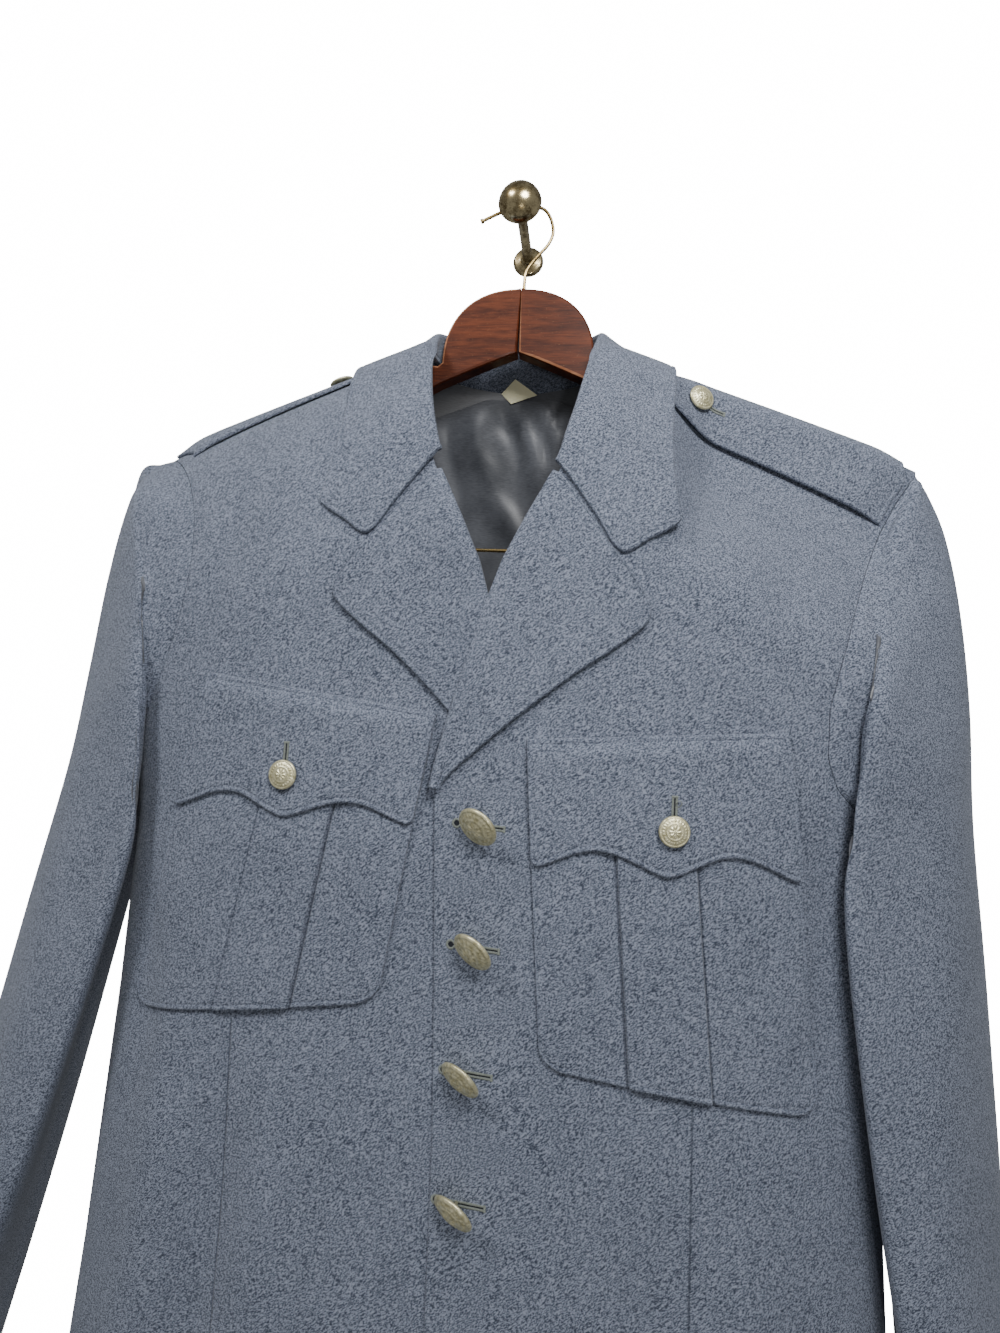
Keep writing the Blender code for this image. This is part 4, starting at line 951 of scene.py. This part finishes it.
station_curves = [curve_through([row[n] for row in COLLAR_STATIONS], 2) for n in range(4)]
clear_curve = curve_through([(row[4],) for row in COLLAR_STATIONS], 2)[:, 0]
stations = [(*(curve[n] for curve in station_curves), clear_curve[n]) for n in range(len(clear_curve))]
collar_rows = [collar_row(*row, -1) for row in reversed(stations[1:])]
collar_rows += [collar_row(*row, 1) for row in stations]
collar_fine = finer(np.array(collar_rows), 6, 5)
COLLAR_LENGTH, COLLAR_DEPTH, CORNER_ROUND = 520.0, 75.0, 5.5
rows, columns = np.meshgrid(fine_steps(190, COLLAR_LENGTH), fine_steps(60, COLLAR_DEPTH), indexing="ij")
corner_reach_r, corner_reach_c = CORNER_ROUND / COLLAR_LENGTH, CORNER_ROUND / COLLAR_DEPTH
for end in (0.0, 1.0):
    a = 1.0 - np.abs(rows - end) / corner_reach_r
    b = 1.0 - (1.0 - columns) / corner_reach_c
    inside = (a > 0) & (b > 0)
    shrink = np.where(inside, np.maximum(a, b) / np.maximum(np.hypot(a, b), 1e-6), 1.0)
    rows = np.where(inside, end + (1 - 2 * end) * corner_reach_r * (1.0 - a * shrink), rows)
    columns = np.where(inside, 1.0 - corner_reach_c * (1.0 - b * shrink), columns)
collar_under = sample(collar_fine, rows * (collar_fine.shape[0] - 1), columns * (collar_fine.shape[1] - 1))
collar_over = thicker(collar_under, COLLAR_CLOTH * soft_rim(collar_under, 1.3))
collar = sewn("collar_cloth", collar_under, collar_over, wool, wool, "serge", "collar")

# A blank cream woven label is sewn over the neck seam, under the notch of the hanger.
label_corners = np.array((((-13.3, -104.0), (-4.3, -93.5)), ((-6.3, -111.0), (11.4, -104.7))))
label_r, label_c = np.meshgrid(np.linspace(0, 1, 24), np.linspace(0, 1, 24), indexing="ij")
label_xz = sample(np.concatenate((label_corners, label_corners[..., :1]), -1), label_r, label_c)
label_bow = -25.3 + 0.5 * np.sin(label_r * math.pi) * np.sin(label_c * 2.6)
label_under = np.stack((label_xz[..., 0], label_bow - 0.35, label_xz[..., 1]), -1)
label_over = np.stack((label_xz[..., 0], label_bow, label_xz[..., 1]), -1)
label_cloth, nodes, shader = new_material("cream label weave", roughness=0.75)
cloth_place = nodes.node("ShaderNodeUVMap", {"uv_map": "cloth"})
weave = nodes.noise(cloth_place.stretched(2600.0, 900.0, 1.0), 1.0, 2.0)
feed(weave.ramp(0.3, 0.7).blend((0.97, 0.90, 0.56, 1.0), (1.0, 0.97, 0.70, 1.0)), shader, "Base Color")
bump(weave, shader, 0.3)
label = sewn("label_woven", label_under, label_over, label_cloth, label_cloth, "label", "neck_label")

# The lapels are the tops of the fronts turned back along the roll line, faced with the same serge.
# Columns: roll_x, roll_z, edge_x, edge_z, from the gorge down to the break.
LAPEL_ROWS = (
    (34.2, -188.0, 71.5, -239.0), (31.0, -194.0, 80.0, -251.5), (26.0, -204.0, 87.0, -263.5),
    (20.0, -216.0, 85.5, -273.0), (9.0, -240.0, 70.0, -286.5), (0.5, -268.0, 48.0, -302.5),
    (-7.5, -298.0, 22.0, -324.0), (-14.5, -328.0, -1.0, -345.0), (-20.5, -356.0, -16.0, -360.0),
)
LAPEL_BREAK = (-22.2, -366.5, -20.4, -368.5)
sewn_grids = {}
for side, hand in HANDS.items():
    lapel_rows = np.array((*LAPEL_ROWS, LAPEL_BREAK) if side > 0 else LAPEL_ROWS)
    count = (len(lapel_rows) - 1) * 2
    at = np.linspace(0, len(lapel_rows) - 1, count * 6 + 1)
    fine = np.stack([np.interp(at, np.arange(len(lapel_rows)), lapel_rows[:, n]) for n in range(4)], -1)
    smooth_rows = curve_through(lapel_rows, 12)
    smooth_at = np.linspace(0, len(smooth_rows) - 1, len(at))
    places = np.arange(len(smooth_rows))
    curved = np.stack([np.interp(smooth_at, places, smooth_rows[:, n]) for n in range(4)], -1)
    fine = np.concatenate((fine[:, :2], curved[:, 2:]), 1)
    across = np.array((0.0, 0.012, 0.03, 0.05, 0.08, 0.12, 0.17, *np.linspace(0.23, 0.90, 30),
                       *np.linspace(0.91, 0.985, 10), 0.994, 1.0))
    roll_x, roll_z, edge_x, edge_z = (fine[:, n][:, None] for n in range(4))
    rise = LEFT_RISE * ease(-roll_z, 340.0, 250.0) if side < 0 else 0.0 * roll_z
    crossing = ease(roll_z, -300.0, -262.0) if side < 0 else 1.0 + 0.0 * roll_z
    x = roll_x + (edge_x - roll_x) * across
    z = roll_z + (edge_z - roll_z) * across + rise * across
    turned_in = np.exp(-across / 0.05)
    roll = 3.0 * np.exp(-across / 0.22) * (1.0 - turned_in) - 1.6 * turned_in
    lift = 0.9 + 0.9 * ease(across, 0.6, 1.0) + roll * crossing
    out = 2.4 * np.exp(-across / 0.08)
    lapel_under = torso(side * (x - out), z, 1, lift, side)
    lapel_over = thicker(lapel_under, LAPEL_CLOTH * soft_rim(lapel_under, 1.3), flip=side < 0)
    sewn_grids[f"lapel_{hand}"] = lapel_over
    made = sewn(f"lapel_{hand}_cloth", lapel_under, lapel_over, wool, wool, "serge", f"lapel_{hand}",
                start_u=side * fine[:, 0])

# The breast pockets are patches with a box pleat pressed down the middle, edge-stitched to the fronts,
# each under a flap whose lower edge is cut to three points.
# Columns: side, inner top, outer top, inner low, outer low corners as (x, z).
POCKETS = (
    (1, (25.5, -337.0), (161.5, -326.0), (41.0, -504.0), (184.0, -522.0)),
    (-1, (-24.5, -326.0), (-160.0, -309.5), (-46.0, -480.0), (-200.0, -506.0)),
)
PLEAT = (0.32, 0.61)
POCKET_CLOTH, FLAP_CLOTH = 1.5, 1.9
FLAP_BUTTON = (0.53, 0.265)


def pocket_spot(place, across, down):
    top_in, top_out, low_in, low_out = (np.array(corner) for corner in place[1:])
    across, down = across[..., None], down[..., None]
    top = top_in + (top_out - top_in) * across
    low = low_in + (low_out - low_in) * across
    return top + (low - top) * down


def corner_cut(across, size):
    near = np.minimum(np.minimum(across, 1.0 - across) / size, 1.0)
    return size * (1.0 - np.sqrt(np.maximum(0.0, 1.0 - (1.0 - near) ** 2)))


def pleat_rise(across):
    """The pleat stands proud of the patch, and its two folds press a hollow beside themselves, where the
    cloth's colour also carries painted shade.
    """
    inside = np.minimum(across - PLEAT[0], PLEAT[1] - across)
    return ease(inside, -0.002, 0.003) - 0.34 * np.exp(-(((inside + 0.007) / 0.004) ** 2))


def flap_low(across):
    crest = np.abs(np.sin(2.0 * math.pi * across))
    return 0.395 - 0.06 * crest**1.5 - corner_cut(across, 0.03)


def flap_lift(across, down):
    pleat = 1.4 * ease(across, 0.22, PLEAT[0]) * (1.0 - ease(across, PLEAT[1], 0.71))
    return 0.7 + (2.0 + pleat) * ease(down, 0.0, 0.06)


def laid(name, place, across, down, lift, thickness, cloth):
    """A patch laid on a front: its under side follows the front's own points, moved out."""
    side = place[0]
    spots = pocket_spot(place, across, down)
    under = torso(spots[..., 0], spots[..., 1], 1, lift, side)
    over = torso(spots[..., 0], spots[..., 1], 1, lift + thickness * soft_rim(under, 1.2), side)
    made = sewn(f"{name}_cloth", under, over, cloth, wool, "serge", name, start_u=spots[:, 0, 0])
    return made, over


# Painted shade is drawn in the cloth's colour along each pleat's two folds.
pleat_shade_lines = []
for place in POCKETS:
    for edge in (PLEAT[0] - 0.006, PLEAT[1] + 0.006):
        high, low = pocket_spot(place, np.array((edge, edge)), np.array((0.3, 0.985)))
        pleat_shade_lines.append((*high, *low))
pleated_wool = serge("blue grey serge with shaded pleats", pleat_shade_lines)
for place in POCKETS:
    hand = HANDS[place[0]]
    steps = fine_steps(58, 150.0)
    beside = np.array((-0.016, -0.011, -0.007, -0.004, -0.002, 0.0, 0.0015, 0.003, 0.006))
    pleat_steps = [*(PLEAT[0] + beside), *(PLEAT[1] - beside)]
    across = np.array(sorted([*steps, *pleat_steps]))[None, :]
    low = 1.0 - corner_cut(across, 0.085) * 0.8
    down = 0.07 + (low - 0.07) * fine_steps(56, 150.0)[:, None]
    across = np.broadcast_to(across, down.shape)
    lift = 0.7 + 1.5 * pleat_rise(across)
    name = f"pocket_{hand}"
    made, sewn_grids[name] = laid(name, place, across, down, lift, POCKET_CLOTH, pleated_wool)
    across = fine_steps(90, 145.0)[None, :]
    down = flap_low(across) * fine_steps(34, 64.0)[:, None]
    across = np.broadcast_to(across, down.shape)
    lift = flap_lift(across, down)
    name = f"flap_{hand}"
    made, sewn_grids[name] = laid(name, place, across, down, lift, FLAP_CLOTH, wool)

# The shoulder straps are doubled serge, sewn into the sleeve seam at one end and buttoned near the
# collar at the other; each stands a little off the shoulder along its middle.
# Columns: side, name, how far in front of the ridge the middle runs at the sleeve and at the collar,
# the sleeve end's x, and how high the strap stands off.
STRAPS = ((1, "right", 26.5, 22.0, 238.0, 2.7), (-1, "left", 6.0, 5.0, 224.0, 1.2))
STRAP_HALF, STRAP_TAPER = 25.0, 4.0
STRAP_FREE_X, STRAP_BUTTON_X = 86.0, 114.0
STRAP_ARCH, STRAP_CLOTH = 1.6, 1.7


def over_shoulder(x, reach):
    """The place on the shoulder this far from the ridge, measured round the cloth; front is plus."""
    face = 1 if reach >= 0 else -1
    drops = 0.01 * np.arange(1, 100) ** 2
    f = np.concatenate(((0.0,), np.abs(depth(x, ridge(x) - drops, face))))
    drops = np.concatenate(((0.0,), drops))
    travelled = np.concatenate(((0.0,), np.cumsum(np.hypot(np.diff(f), np.diff(drops)))))
    return face * np.interp(abs(reach), travelled, f), ridge(x) - np.interp(abs(reach), travelled, drops)


@functools.cache
def strap_end(strap, across):
    """Where the strap meets the sleeve seam at this place across it."""
    side, _, at_sleeve, _, far_x, _ = strap
    sleeve_x = far_x
    for _ in range(3):
        f, z = over_shoulder(side * sleeve_x, at_sleeve + STRAP_HALF * across)
        sleeve_x = min(far_x, float(outer_x(z, 1 if f > 0 else -1, side)) - 3.0)
    return sleeve_x


def strap_spot(strap, along, across):
    side, _, at_sleeve, at_collar, _, _ = strap
    half = STRAP_HALF - STRAP_TAPER * along
    centre = at_sleeve + (at_collar - at_sleeve) * along
    sleeve_x = strap_end(strap, round(float(across), 4))
    x = sleeve_x + (STRAP_FREE_X - sleeve_x) * along
    f, z = over_shoulder(side * x, centre + half * across)
    return side * x, float(f), float(z)


def strap_share(strap, x):
    """How far along the strap, from its sleeve end to its free end, this place lies."""
    return (x - strap[4]) / (STRAP_FREE_X - strap[4])


def strap_lift(strap, along):
    sewn_down = 0.2 + 0.8 * ease(along, -0.02, 0.12)
    return (strap[5] + (1.2 - strap[5]) * ease(along, 0.82, 0.95)) * sewn_down


for strap in STRAPS:
    side, hand = strap[:2]
    along_steps, across_steps = fine_steps(46, 145.0), fine_steps(20, 46.0) * 2.0 - 1.0
    round_end = 1.0 - 0.25 * ease(along_steps, 0.9, 1.0)
    flat = np.array([[strap_spot(strap, a, c * w) for c in across_steps]
                     for a, w in zip(along_steps, round_end)])
    across = across_steps[None, :] * round_end[:, None]
    stand = STRAP_ARCH * (1.0 - along_steps) * ease(along_steps, 0.02, 0.16)
    lift = strap_lift(strap, along_steps)[:, None] + (1.0 - across**2) * stand[:, None]
    normal = unit(outward(flat))
    strap_under = flat + normal * lift[..., None]
    strap_over = flat + normal * (lift + STRAP_CLOTH * soft_rim(flat, 1.2))[..., None]
    sewn_grids[f"strap_{hand}"] = strap_over
    made = sewn(f"strap_{hand}_cloth", strap_under, strap_over, wool, wool, "serge", f"strap_{hand}")

# The edges are sewn through with blue-grey thread, a short stitch and a gap at a time. Every stitch is one
# small bead of thread laid in its own direction on the cloth.
stitch_tree = bpy.data.node_groups.new("laid stitches", "GeometryNodeTree")
stitch_tree.interface.new_socket("Geometry", in_out="INPUT", socket_type="NodeSocketGeometry")
for socket_name in ("Length", "Width"):
    stitch_tree.interface.new_socket(socket_name, in_out="INPUT", socket_type="NodeSocketFloat")
stitch_tree.interface.new_socket("Thread", in_out="INPUT", socket_type="NodeSocketMaterial")
stitch_tree.interface.new_socket("Geometry", in_out="OUTPUT", socket_type="NodeSocketGeometry")


def stitch_node(kind, values=None, **settings):
    """One node of the stitches' tree; values are its inputs, by name or number."""
    made = stitch_tree.nodes.new(kind)
    for name, value in settings.items():
        setattr(made, name, value)
    for name, value in (values or {}).items():
        if isinstance(value, bpy.types.NodeSocket):
            stitch_tree.links.new(value, made.inputs[name])
        else:
            made.inputs[name].default_value = value
    return made


stitch_in = stitch_tree.nodes.new("NodeGroupInput")
bead = stitch_node("GeometryNodeMeshUVSphere", {"Segments": 6, "Rings": 4, "Radius": 0.5})
smooth_bead = stitch_node("GeometryNodeSetShadeSmooth", {"Geometry": bead.outputs["Mesh"]})
lay = stitch_node("GeometryNodeInputNamedAttribute", {"Name": "lay"}, data_type="FLOAT_VECTOR")
turned_bead = stitch_node("FunctionNodeAlignRotationToVector", {"Vector": lay.outputs["Attribute"]}, axis="X")
uneven = stitch_node("FunctionNodeRandomValue", {2: 0.86, 3: 1.12, "Seed": 7}, data_type="FLOAT")
stitch_length = stitch_node("ShaderNodeMath", {0: stitch_in.outputs["Length"], 1: uneven.outputs[1]},
                            operation="MULTIPLY")
stitch_size = stitch_node("ShaderNodeCombineXYZ", {
    "X": stitch_length.outputs[0], "Y": stitch_in.outputs["Width"], "Z": stitch_in.outputs["Width"]})
beads = stitch_node("GeometryNodeInstanceOnPoints", {
    "Points": stitch_in.outputs["Geometry"], "Instance": smooth_bead.outputs["Geometry"],
    "Rotation": turned_bead.outputs["Rotation"], "Scale": stitch_size.outputs["Vector"]})
real_beads = stitch_node("GeometryNodeRealizeInstances", {"Geometry": beads.outputs["Instances"]})
threaded = stitch_node("GeometryNodeSetMaterial", {
    "Geometry": real_beads.outputs["Geometry"], "Material": stitch_in.outputs["Thread"]})
stitch_out = stitch_tree.nodes.new("NodeGroupOutput")
stitch_tree.links.new(threaded.outputs["Geometry"], stitch_out.inputs["Geometry"])


def thread(name, color):
    material, nodes, shader = new_material(name, roughness=0.7, sheen_weight=0.2)
    twist = nodes.noise(nodes.object_place(), 2200.0, 2.0)
    dark = tuple(value * 0.6 for value in color)
    feed(twist.ramp(0.35, 0.65).blend((*dark, 1.0), (*color, 1.0)), shader, "Base Color")
    return material


def sew(name, points, lays, length, width, material):
    """Stitches at these garment points, each lying along its own direction."""
    mesh = bpy.data.meshes.new(name)
    mesh.from_pydata(in_metres(points).tolist(), [], [])
    way = unit(np.asarray(lays, float)) * np.array((1.0, -1.0, 1.0))
    mesh.attributes.new("lay", "FLOAT_VECTOR", "POINT").data.foreach_set("vector", way.ravel())
    holder = bpy.data.objects.new(name, mesh)
    bpy.context.scene.collection.objects.link(holder)
    stitches = holder.modifiers.new("stitches", "NODES")
    stitches.node_group = stitch_tree
    inputs = [item for item in stitch_tree.interface.items_tree if item.in_out == "INPUT"]
    named = {item.name: item.identifier for item in inputs}
    stitches[named["Length"]] = length * 0.001
    stitches[named["Width"]] = width * 0.001
    stitches[named["Thread"]] = material
    evaluated = holder.evaluated_get(bpy.context.evaluated_depsgraph_get())
    real = bpy.data.meshes.new_from_object(evaluated)
    bpy.data.objects.remove(holder)
    real.name = name
    return hand_over(name, real, "serge")


def inset_line(grid, last):
    """The line on a grid that runs the stitches' inset in from its first or last column."""
    if last:
        grid = grid[:, ::-1]
    line = np.array([[np.interp(STITCH_INSET, run, row[:, k]) for k in range(3)]
                     for run, row in zip(lengths(grid, 1), grid)])
    travelled = np.concatenate(((0.0,), np.cumsum(np.linalg.norm(np.diff(line, axis=0), axis=1))))
    at = np.arange(STITCH_INSET, travelled[-1] - STITCH_INSET + 0.1, 2.9)
    points = np.stack([np.interp(at, travelled, line[:, k]) for k in range(3)], -1)
    return points, np.gradient(points, axis=0)


def sew_edges(name, grid, sides, material):
    """Rows of stitches along these sides of a grid: left and right columns, top and bottom rows."""
    rows = []
    for edge in sides:
        turned_grid = grid.transpose(1, 0, 2) if edge in ("top", "bottom") else grid
        rows.append(inset_line(turned_grid, edge in ("right", "bottom")))
    points = np.concatenate([row[0] for row in rows])
    sew(name, points, np.concatenate([row[1] for row in rows]), 2.2, 0.42, material)


seam_thread = thread("blue grey thread", (0.20, 0.235, 0.32))
sew_edges("collar_stitching", collar_over, ("right", "top", "bottom"), seam_thread)
for hand in ("right", "left"):
    for name, sides in (("lapel", ("right", "top")), ("pocket", ("left", "bottom", "right")),
                        ("flap", ("left", "bottom", "right", "top")), ("strap", ("left", "right", "bottom"))):
        sew_edges(f"{name}_{hand}_stitching", sewn_grids[f"{name}_{hand}"], sides, seam_thread)

# The buttonholes are cut and worked over with grey-green twist: a round eyelet for the shank, a slit
# and a bar across its end. The slit's opening is drawn as a near-black sheet of painted shade.
hole_thread = thread("grey green twist", (0.27, 0.30, 0.27))
slit_shade = new_material("painted slit shade", base_color=(0.010, 0.012, 0.018), roughness=0.95)[0]


def buttonhole(name, at, reach):
    """at(u, v, lift) is the cloth's point u mm along the slit from its eyelet and v mm across it."""
    eyelet, half = 1.5, 0.35
    turn_from = math.asin(half / eyelet)
    angles = np.linspace(turn_from, 2 * math.pi - turn_from, 26)
    upper = [(u, half) for u in np.arange(reach, eyelet, -0.45)]
    round_part = [(eyelet * math.cos(a), eyelet * math.sin(a)) for a in angles]
    path = np.array([*upper, *round_part, *[(u, -half) for u, _ in reversed(upper)]])
    middle = np.array([(min(max(u, 0.0), reach), 0.0) for u, _ in path])
    out = unit(path - middle)
    inner = np.array([at(u, v, 0.25) for u, v in path])
    outer = np.array([at(u + du * 1.2, v + dv * 1.2, 0.25) for (u, v), (du, dv) in zip(path, out)])
    bar, past_bar = (np.array([at(reach + u, v, 0.35) for v in np.linspace(-1.5, 1.5, 9)])
                     for u in (0.4, 1.4))
    points = np.concatenate(((inner + outer) / 2, bar))
    lays = np.concatenate((outer - inner, past_bar - bar))
    sew(f"{name}_twist", points, lays, 1.5, 0.5, hole_thread)
    # The slit is a thin near-black sheet on the cloth: painted shade.
    across = np.linspace(-1.0, 1.0, 5)
    widths = [(u, math.sqrt(max(eyelet**2 - u * u, 0.0)) if u < 1.3 else half)
              for u in np.linspace(-1.45, reach, 40)]
    low, high = (np.array([[at(u, w * v, lift) for v in across] for u, w in widths]) for lift in (0.02, 0.12))
    sewn(f"{name}_slit", low, high, slit_shade, slit_shade, "serge")


for number, (x, z) in enumerate(((-9.0, -383.4), (-8.4, -446.2), (-8.6, -510.0), (-8.4, -574.0)), 1):
    buttonhole(f"front_hole_{number}", lambda u, v, lift, x=x, z=z: torso(
        x + u, z - 0.06 * u + v, 1, lift), 25.0)
for place in POCKETS:
    hand = HANDS[place[0]]
    x, z = pocket_spot(place, *np.array(FLAP_BUTTON))
    buttonhole(f"flap_hole_{hand}", lambda u, v, lift, x=x, z=z, side=place[0]: torso(
        x - v, z - 3.0 + u, 1, lift + float(flap_lift(FLAP_BUTTON[0], 0.2)) + 1.95, side), 20.0)
for strap in STRAPS:
    def on_strap(u, v, lift, strap=strap):
        along = strap_share(strap, STRAP_BUTTON_X - 3.0 + u)
        spot = np.array(strap_spot(strap, along, v / 23.0))
        stand = float(strap_lift(strap, along)) + STRAP_ARCH * (1.0 - along) + STRAP_CLOTH
        return spot + unit(outward(spot)) * (stand + lift)
    buttonhole(f"strap_hole_{strap[1]}", on_strap, 20.0)

curl = [(98.4, -362.6), (99.4, -365.2), (101.6, -367.0), (104.6, -367.2), (106.2, -365.4), (104.8, -364.0),
        (102.8, -365.0)]
curl_line = curve_through([tuple(torso(x, z, 1, 4.8 + 0.5 * n, 1)) for n, (x, z) in enumerate(curl)], 5)
curl_mesh = wire("loose_thread", curl_line, 0.2)
curl_mesh.materials.append(hole_thread)
hand_over("loose_thread", curl_mesh, "serge")

# The buttons are stamped brass shells, pale with age: a rolled rim, a ring of small beads and a plain
# rosette. Each is held by a twist of thread that lets it tip as the cloth pulls.
BUTTON_RINGS = np.array((*np.arange(1, 8) * 0.05, *np.arange(10, 17) * 0.04, *np.arange(67, 101, 3) * 0.01))
# Columns: radius, height, from the rim round to the shank, in shares of the button's radius.
BUTTON_BACK = ((1.01, -0.03), (0.99, -0.08), (0.92, -0.12), (0.6, -0.13), (0.16, -0.14), (0.13, -0.2))
BUTTON_SIDES = 120
FRONT_RADIUS, SMALL_RADIUS = 11.45, 7.95
FRONT_SHANK, SMALL_SHANK = 9.4, 2.6


def button_relief(r, angle):
    """The stamped face's height above its dome, in shares of the button's radius."""
    petals = 0.5 + 0.5 * np.cos(8 * angle)
    rosette = 0.055 * petals * np.exp(-(((r - 0.26) / 0.11) ** 2)) + 0.05 * np.exp(-((r / 0.09) ** 2))
    inner_ring = 0.03 * np.exp(-(((r - 0.52) / 0.035) ** 2))
    beads = 0.045 * np.maximum(0.0, np.cos(24 * angle)) ** 0.8 * np.exp(-(((r - 0.73) / 0.055) ** 2))
    rim = 0.045 * np.exp(-(((r - 0.93) / 0.04) ** 2))
    return rosette + inner_ring + beads + rim


button_metal = brass("pale antique brass", (0.50, 0.46, 0.26), (0.95, 0.90, 0.62), 0.34, 0.0022, 0.7)


def button(name, cloth, cloth_normal, facing, radius, stand, slot_node):
    """A domed button whose thread shank runs from the cloth to the middle of its back."""
    angles = 2 * math.pi * np.arange(BUTTON_SIDES) / BUTTON_SIDES
    r, a = np.meshgrid(BUTTON_RINGS, angles, indexing="ij")
    height = 0.27 * (1.0 - (r / 1.02) ** 2.2) + button_relief(r, a)
    rings = [np.stack((r * np.cos(a), r * np.sin(a), height), -1)]
    round_once = np.stack((np.cos(angles), np.sin(angles), np.ones(BUTTON_SIDES)), -1)
    for back_r, back_h in BUTTON_BACK:
        rings.append((round_once * (back_r, back_r, back_h))[None])
    grid = np.concatenate(rings) * radius
    axis = Vector((facing[0], -facing[1], facing[2])).normalized()
    centre = in_metres(np.asarray(cloth) + np.asarray(cloth_normal) * stand)
    root = in_metres(np.asarray(cloth) + np.asarray(cloth_normal) * 0.3)
    place = Matrix.Translation(centre) @ axis.to_track_quat("Z", "Y").to_matrix().to_4x4()
    build = bmesh.new()
    verts = [[build.verts.new(place @ Vector(p * 0.001)) for p in ring] for ring in grid]
    shank_axis = (Vector(root) - Vector(centre)).normalized()
    across = shank_axis.orthogonal().normalized()
    other = shank_axis.cross(across)
    foot = []
    for n in range(BUTTON_SIDES):
        spoke = verts[-1][n].co - Vector(centre)
        spoke = (across * spoke.dot(across) + other * spoke.dot(other)).normalized()
        foot.append(build.verts.new(Vector(root) + spoke * 0.0013))
    verts.append(foot)
    for high, low in zip(verts, verts[1:]):
        for n in range(BUTTON_SIDES):
            after = (n + 1) % BUTTON_SIDES
            build.faces.new((high[n], low[n], low[after], high[after]))
    top = build.verts.new(place @ Vector((0.0, 0.0, 0.32 * radius * 0.001)))
    end = build.verts.new(Vector(root))
    for n in range(BUTTON_SIDES):
        after = (n + 1) % BUTTON_SIDES
        build.faces.new((top, verts[0][n], verts[0][after]))
        build.faces.new((end, foot[after], foot[n]))
    mesh = finished(build, bpy.data.meshes.new(name))
    mesh.materials.append(button_metal)
    return hand_over(name, mesh, "button_brass", slot_node)


# Columns: x, z, and the way the button faces as (x, f, z).
FRONT_BUTTONS = (
    (3.3, -384.0, (-0.44, 0.72, -0.54)),
    (4.3, -446.5, (-0.47, 0.68, -0.56)),
    (1.6, -510.5, (-0.47, 0.66, -0.58)),
    (2.0, -574.5, (-0.45, 0.70, -0.55)),
)
for number, (x, z, facing) in enumerate(FRONT_BUTTONS, 1):
    cloth = torso(x, z, 1)
    button(f"front_button_{number}_stamped", cloth, unit(outward(cloth)), facing, FRONT_RADIUS,
           FRONT_SHANK, f"front_button_{number}")
for place in POCKETS:
    hand = HANDS[place[0]]
    x, z = pocket_spot(place, *np.array(FLAP_BUTTON))
    cloth = torso(x, z, 1, float(flap_lift(*FLAP_BUTTON)) + 1.8, place[0])
    normal = unit(outward(cloth))
    button(f"flap_button_{hand}_stamped", cloth, normal, normal, SMALL_RADIUS, SMALL_SHANK,
           f"flap_button_{hand}")
for strap in STRAPS:
    along = strap_share(strap, STRAP_BUTTON_X)
    flat = np.array(strap_spot(strap, along, 0.0))
    normal = unit(outward(flat))
    cloth = flat + normal * (float(strap_lift(strap, along)) + STRAP_ARCH * (1.0 - along) + STRAP_CLOTH - 0.2)
    button(f"strap_button_{strap[1]}_stamped", cloth, normal, normal, SMALL_RADIUS, SMALL_SHANK,
           f"strap_button_{strap[1]}")
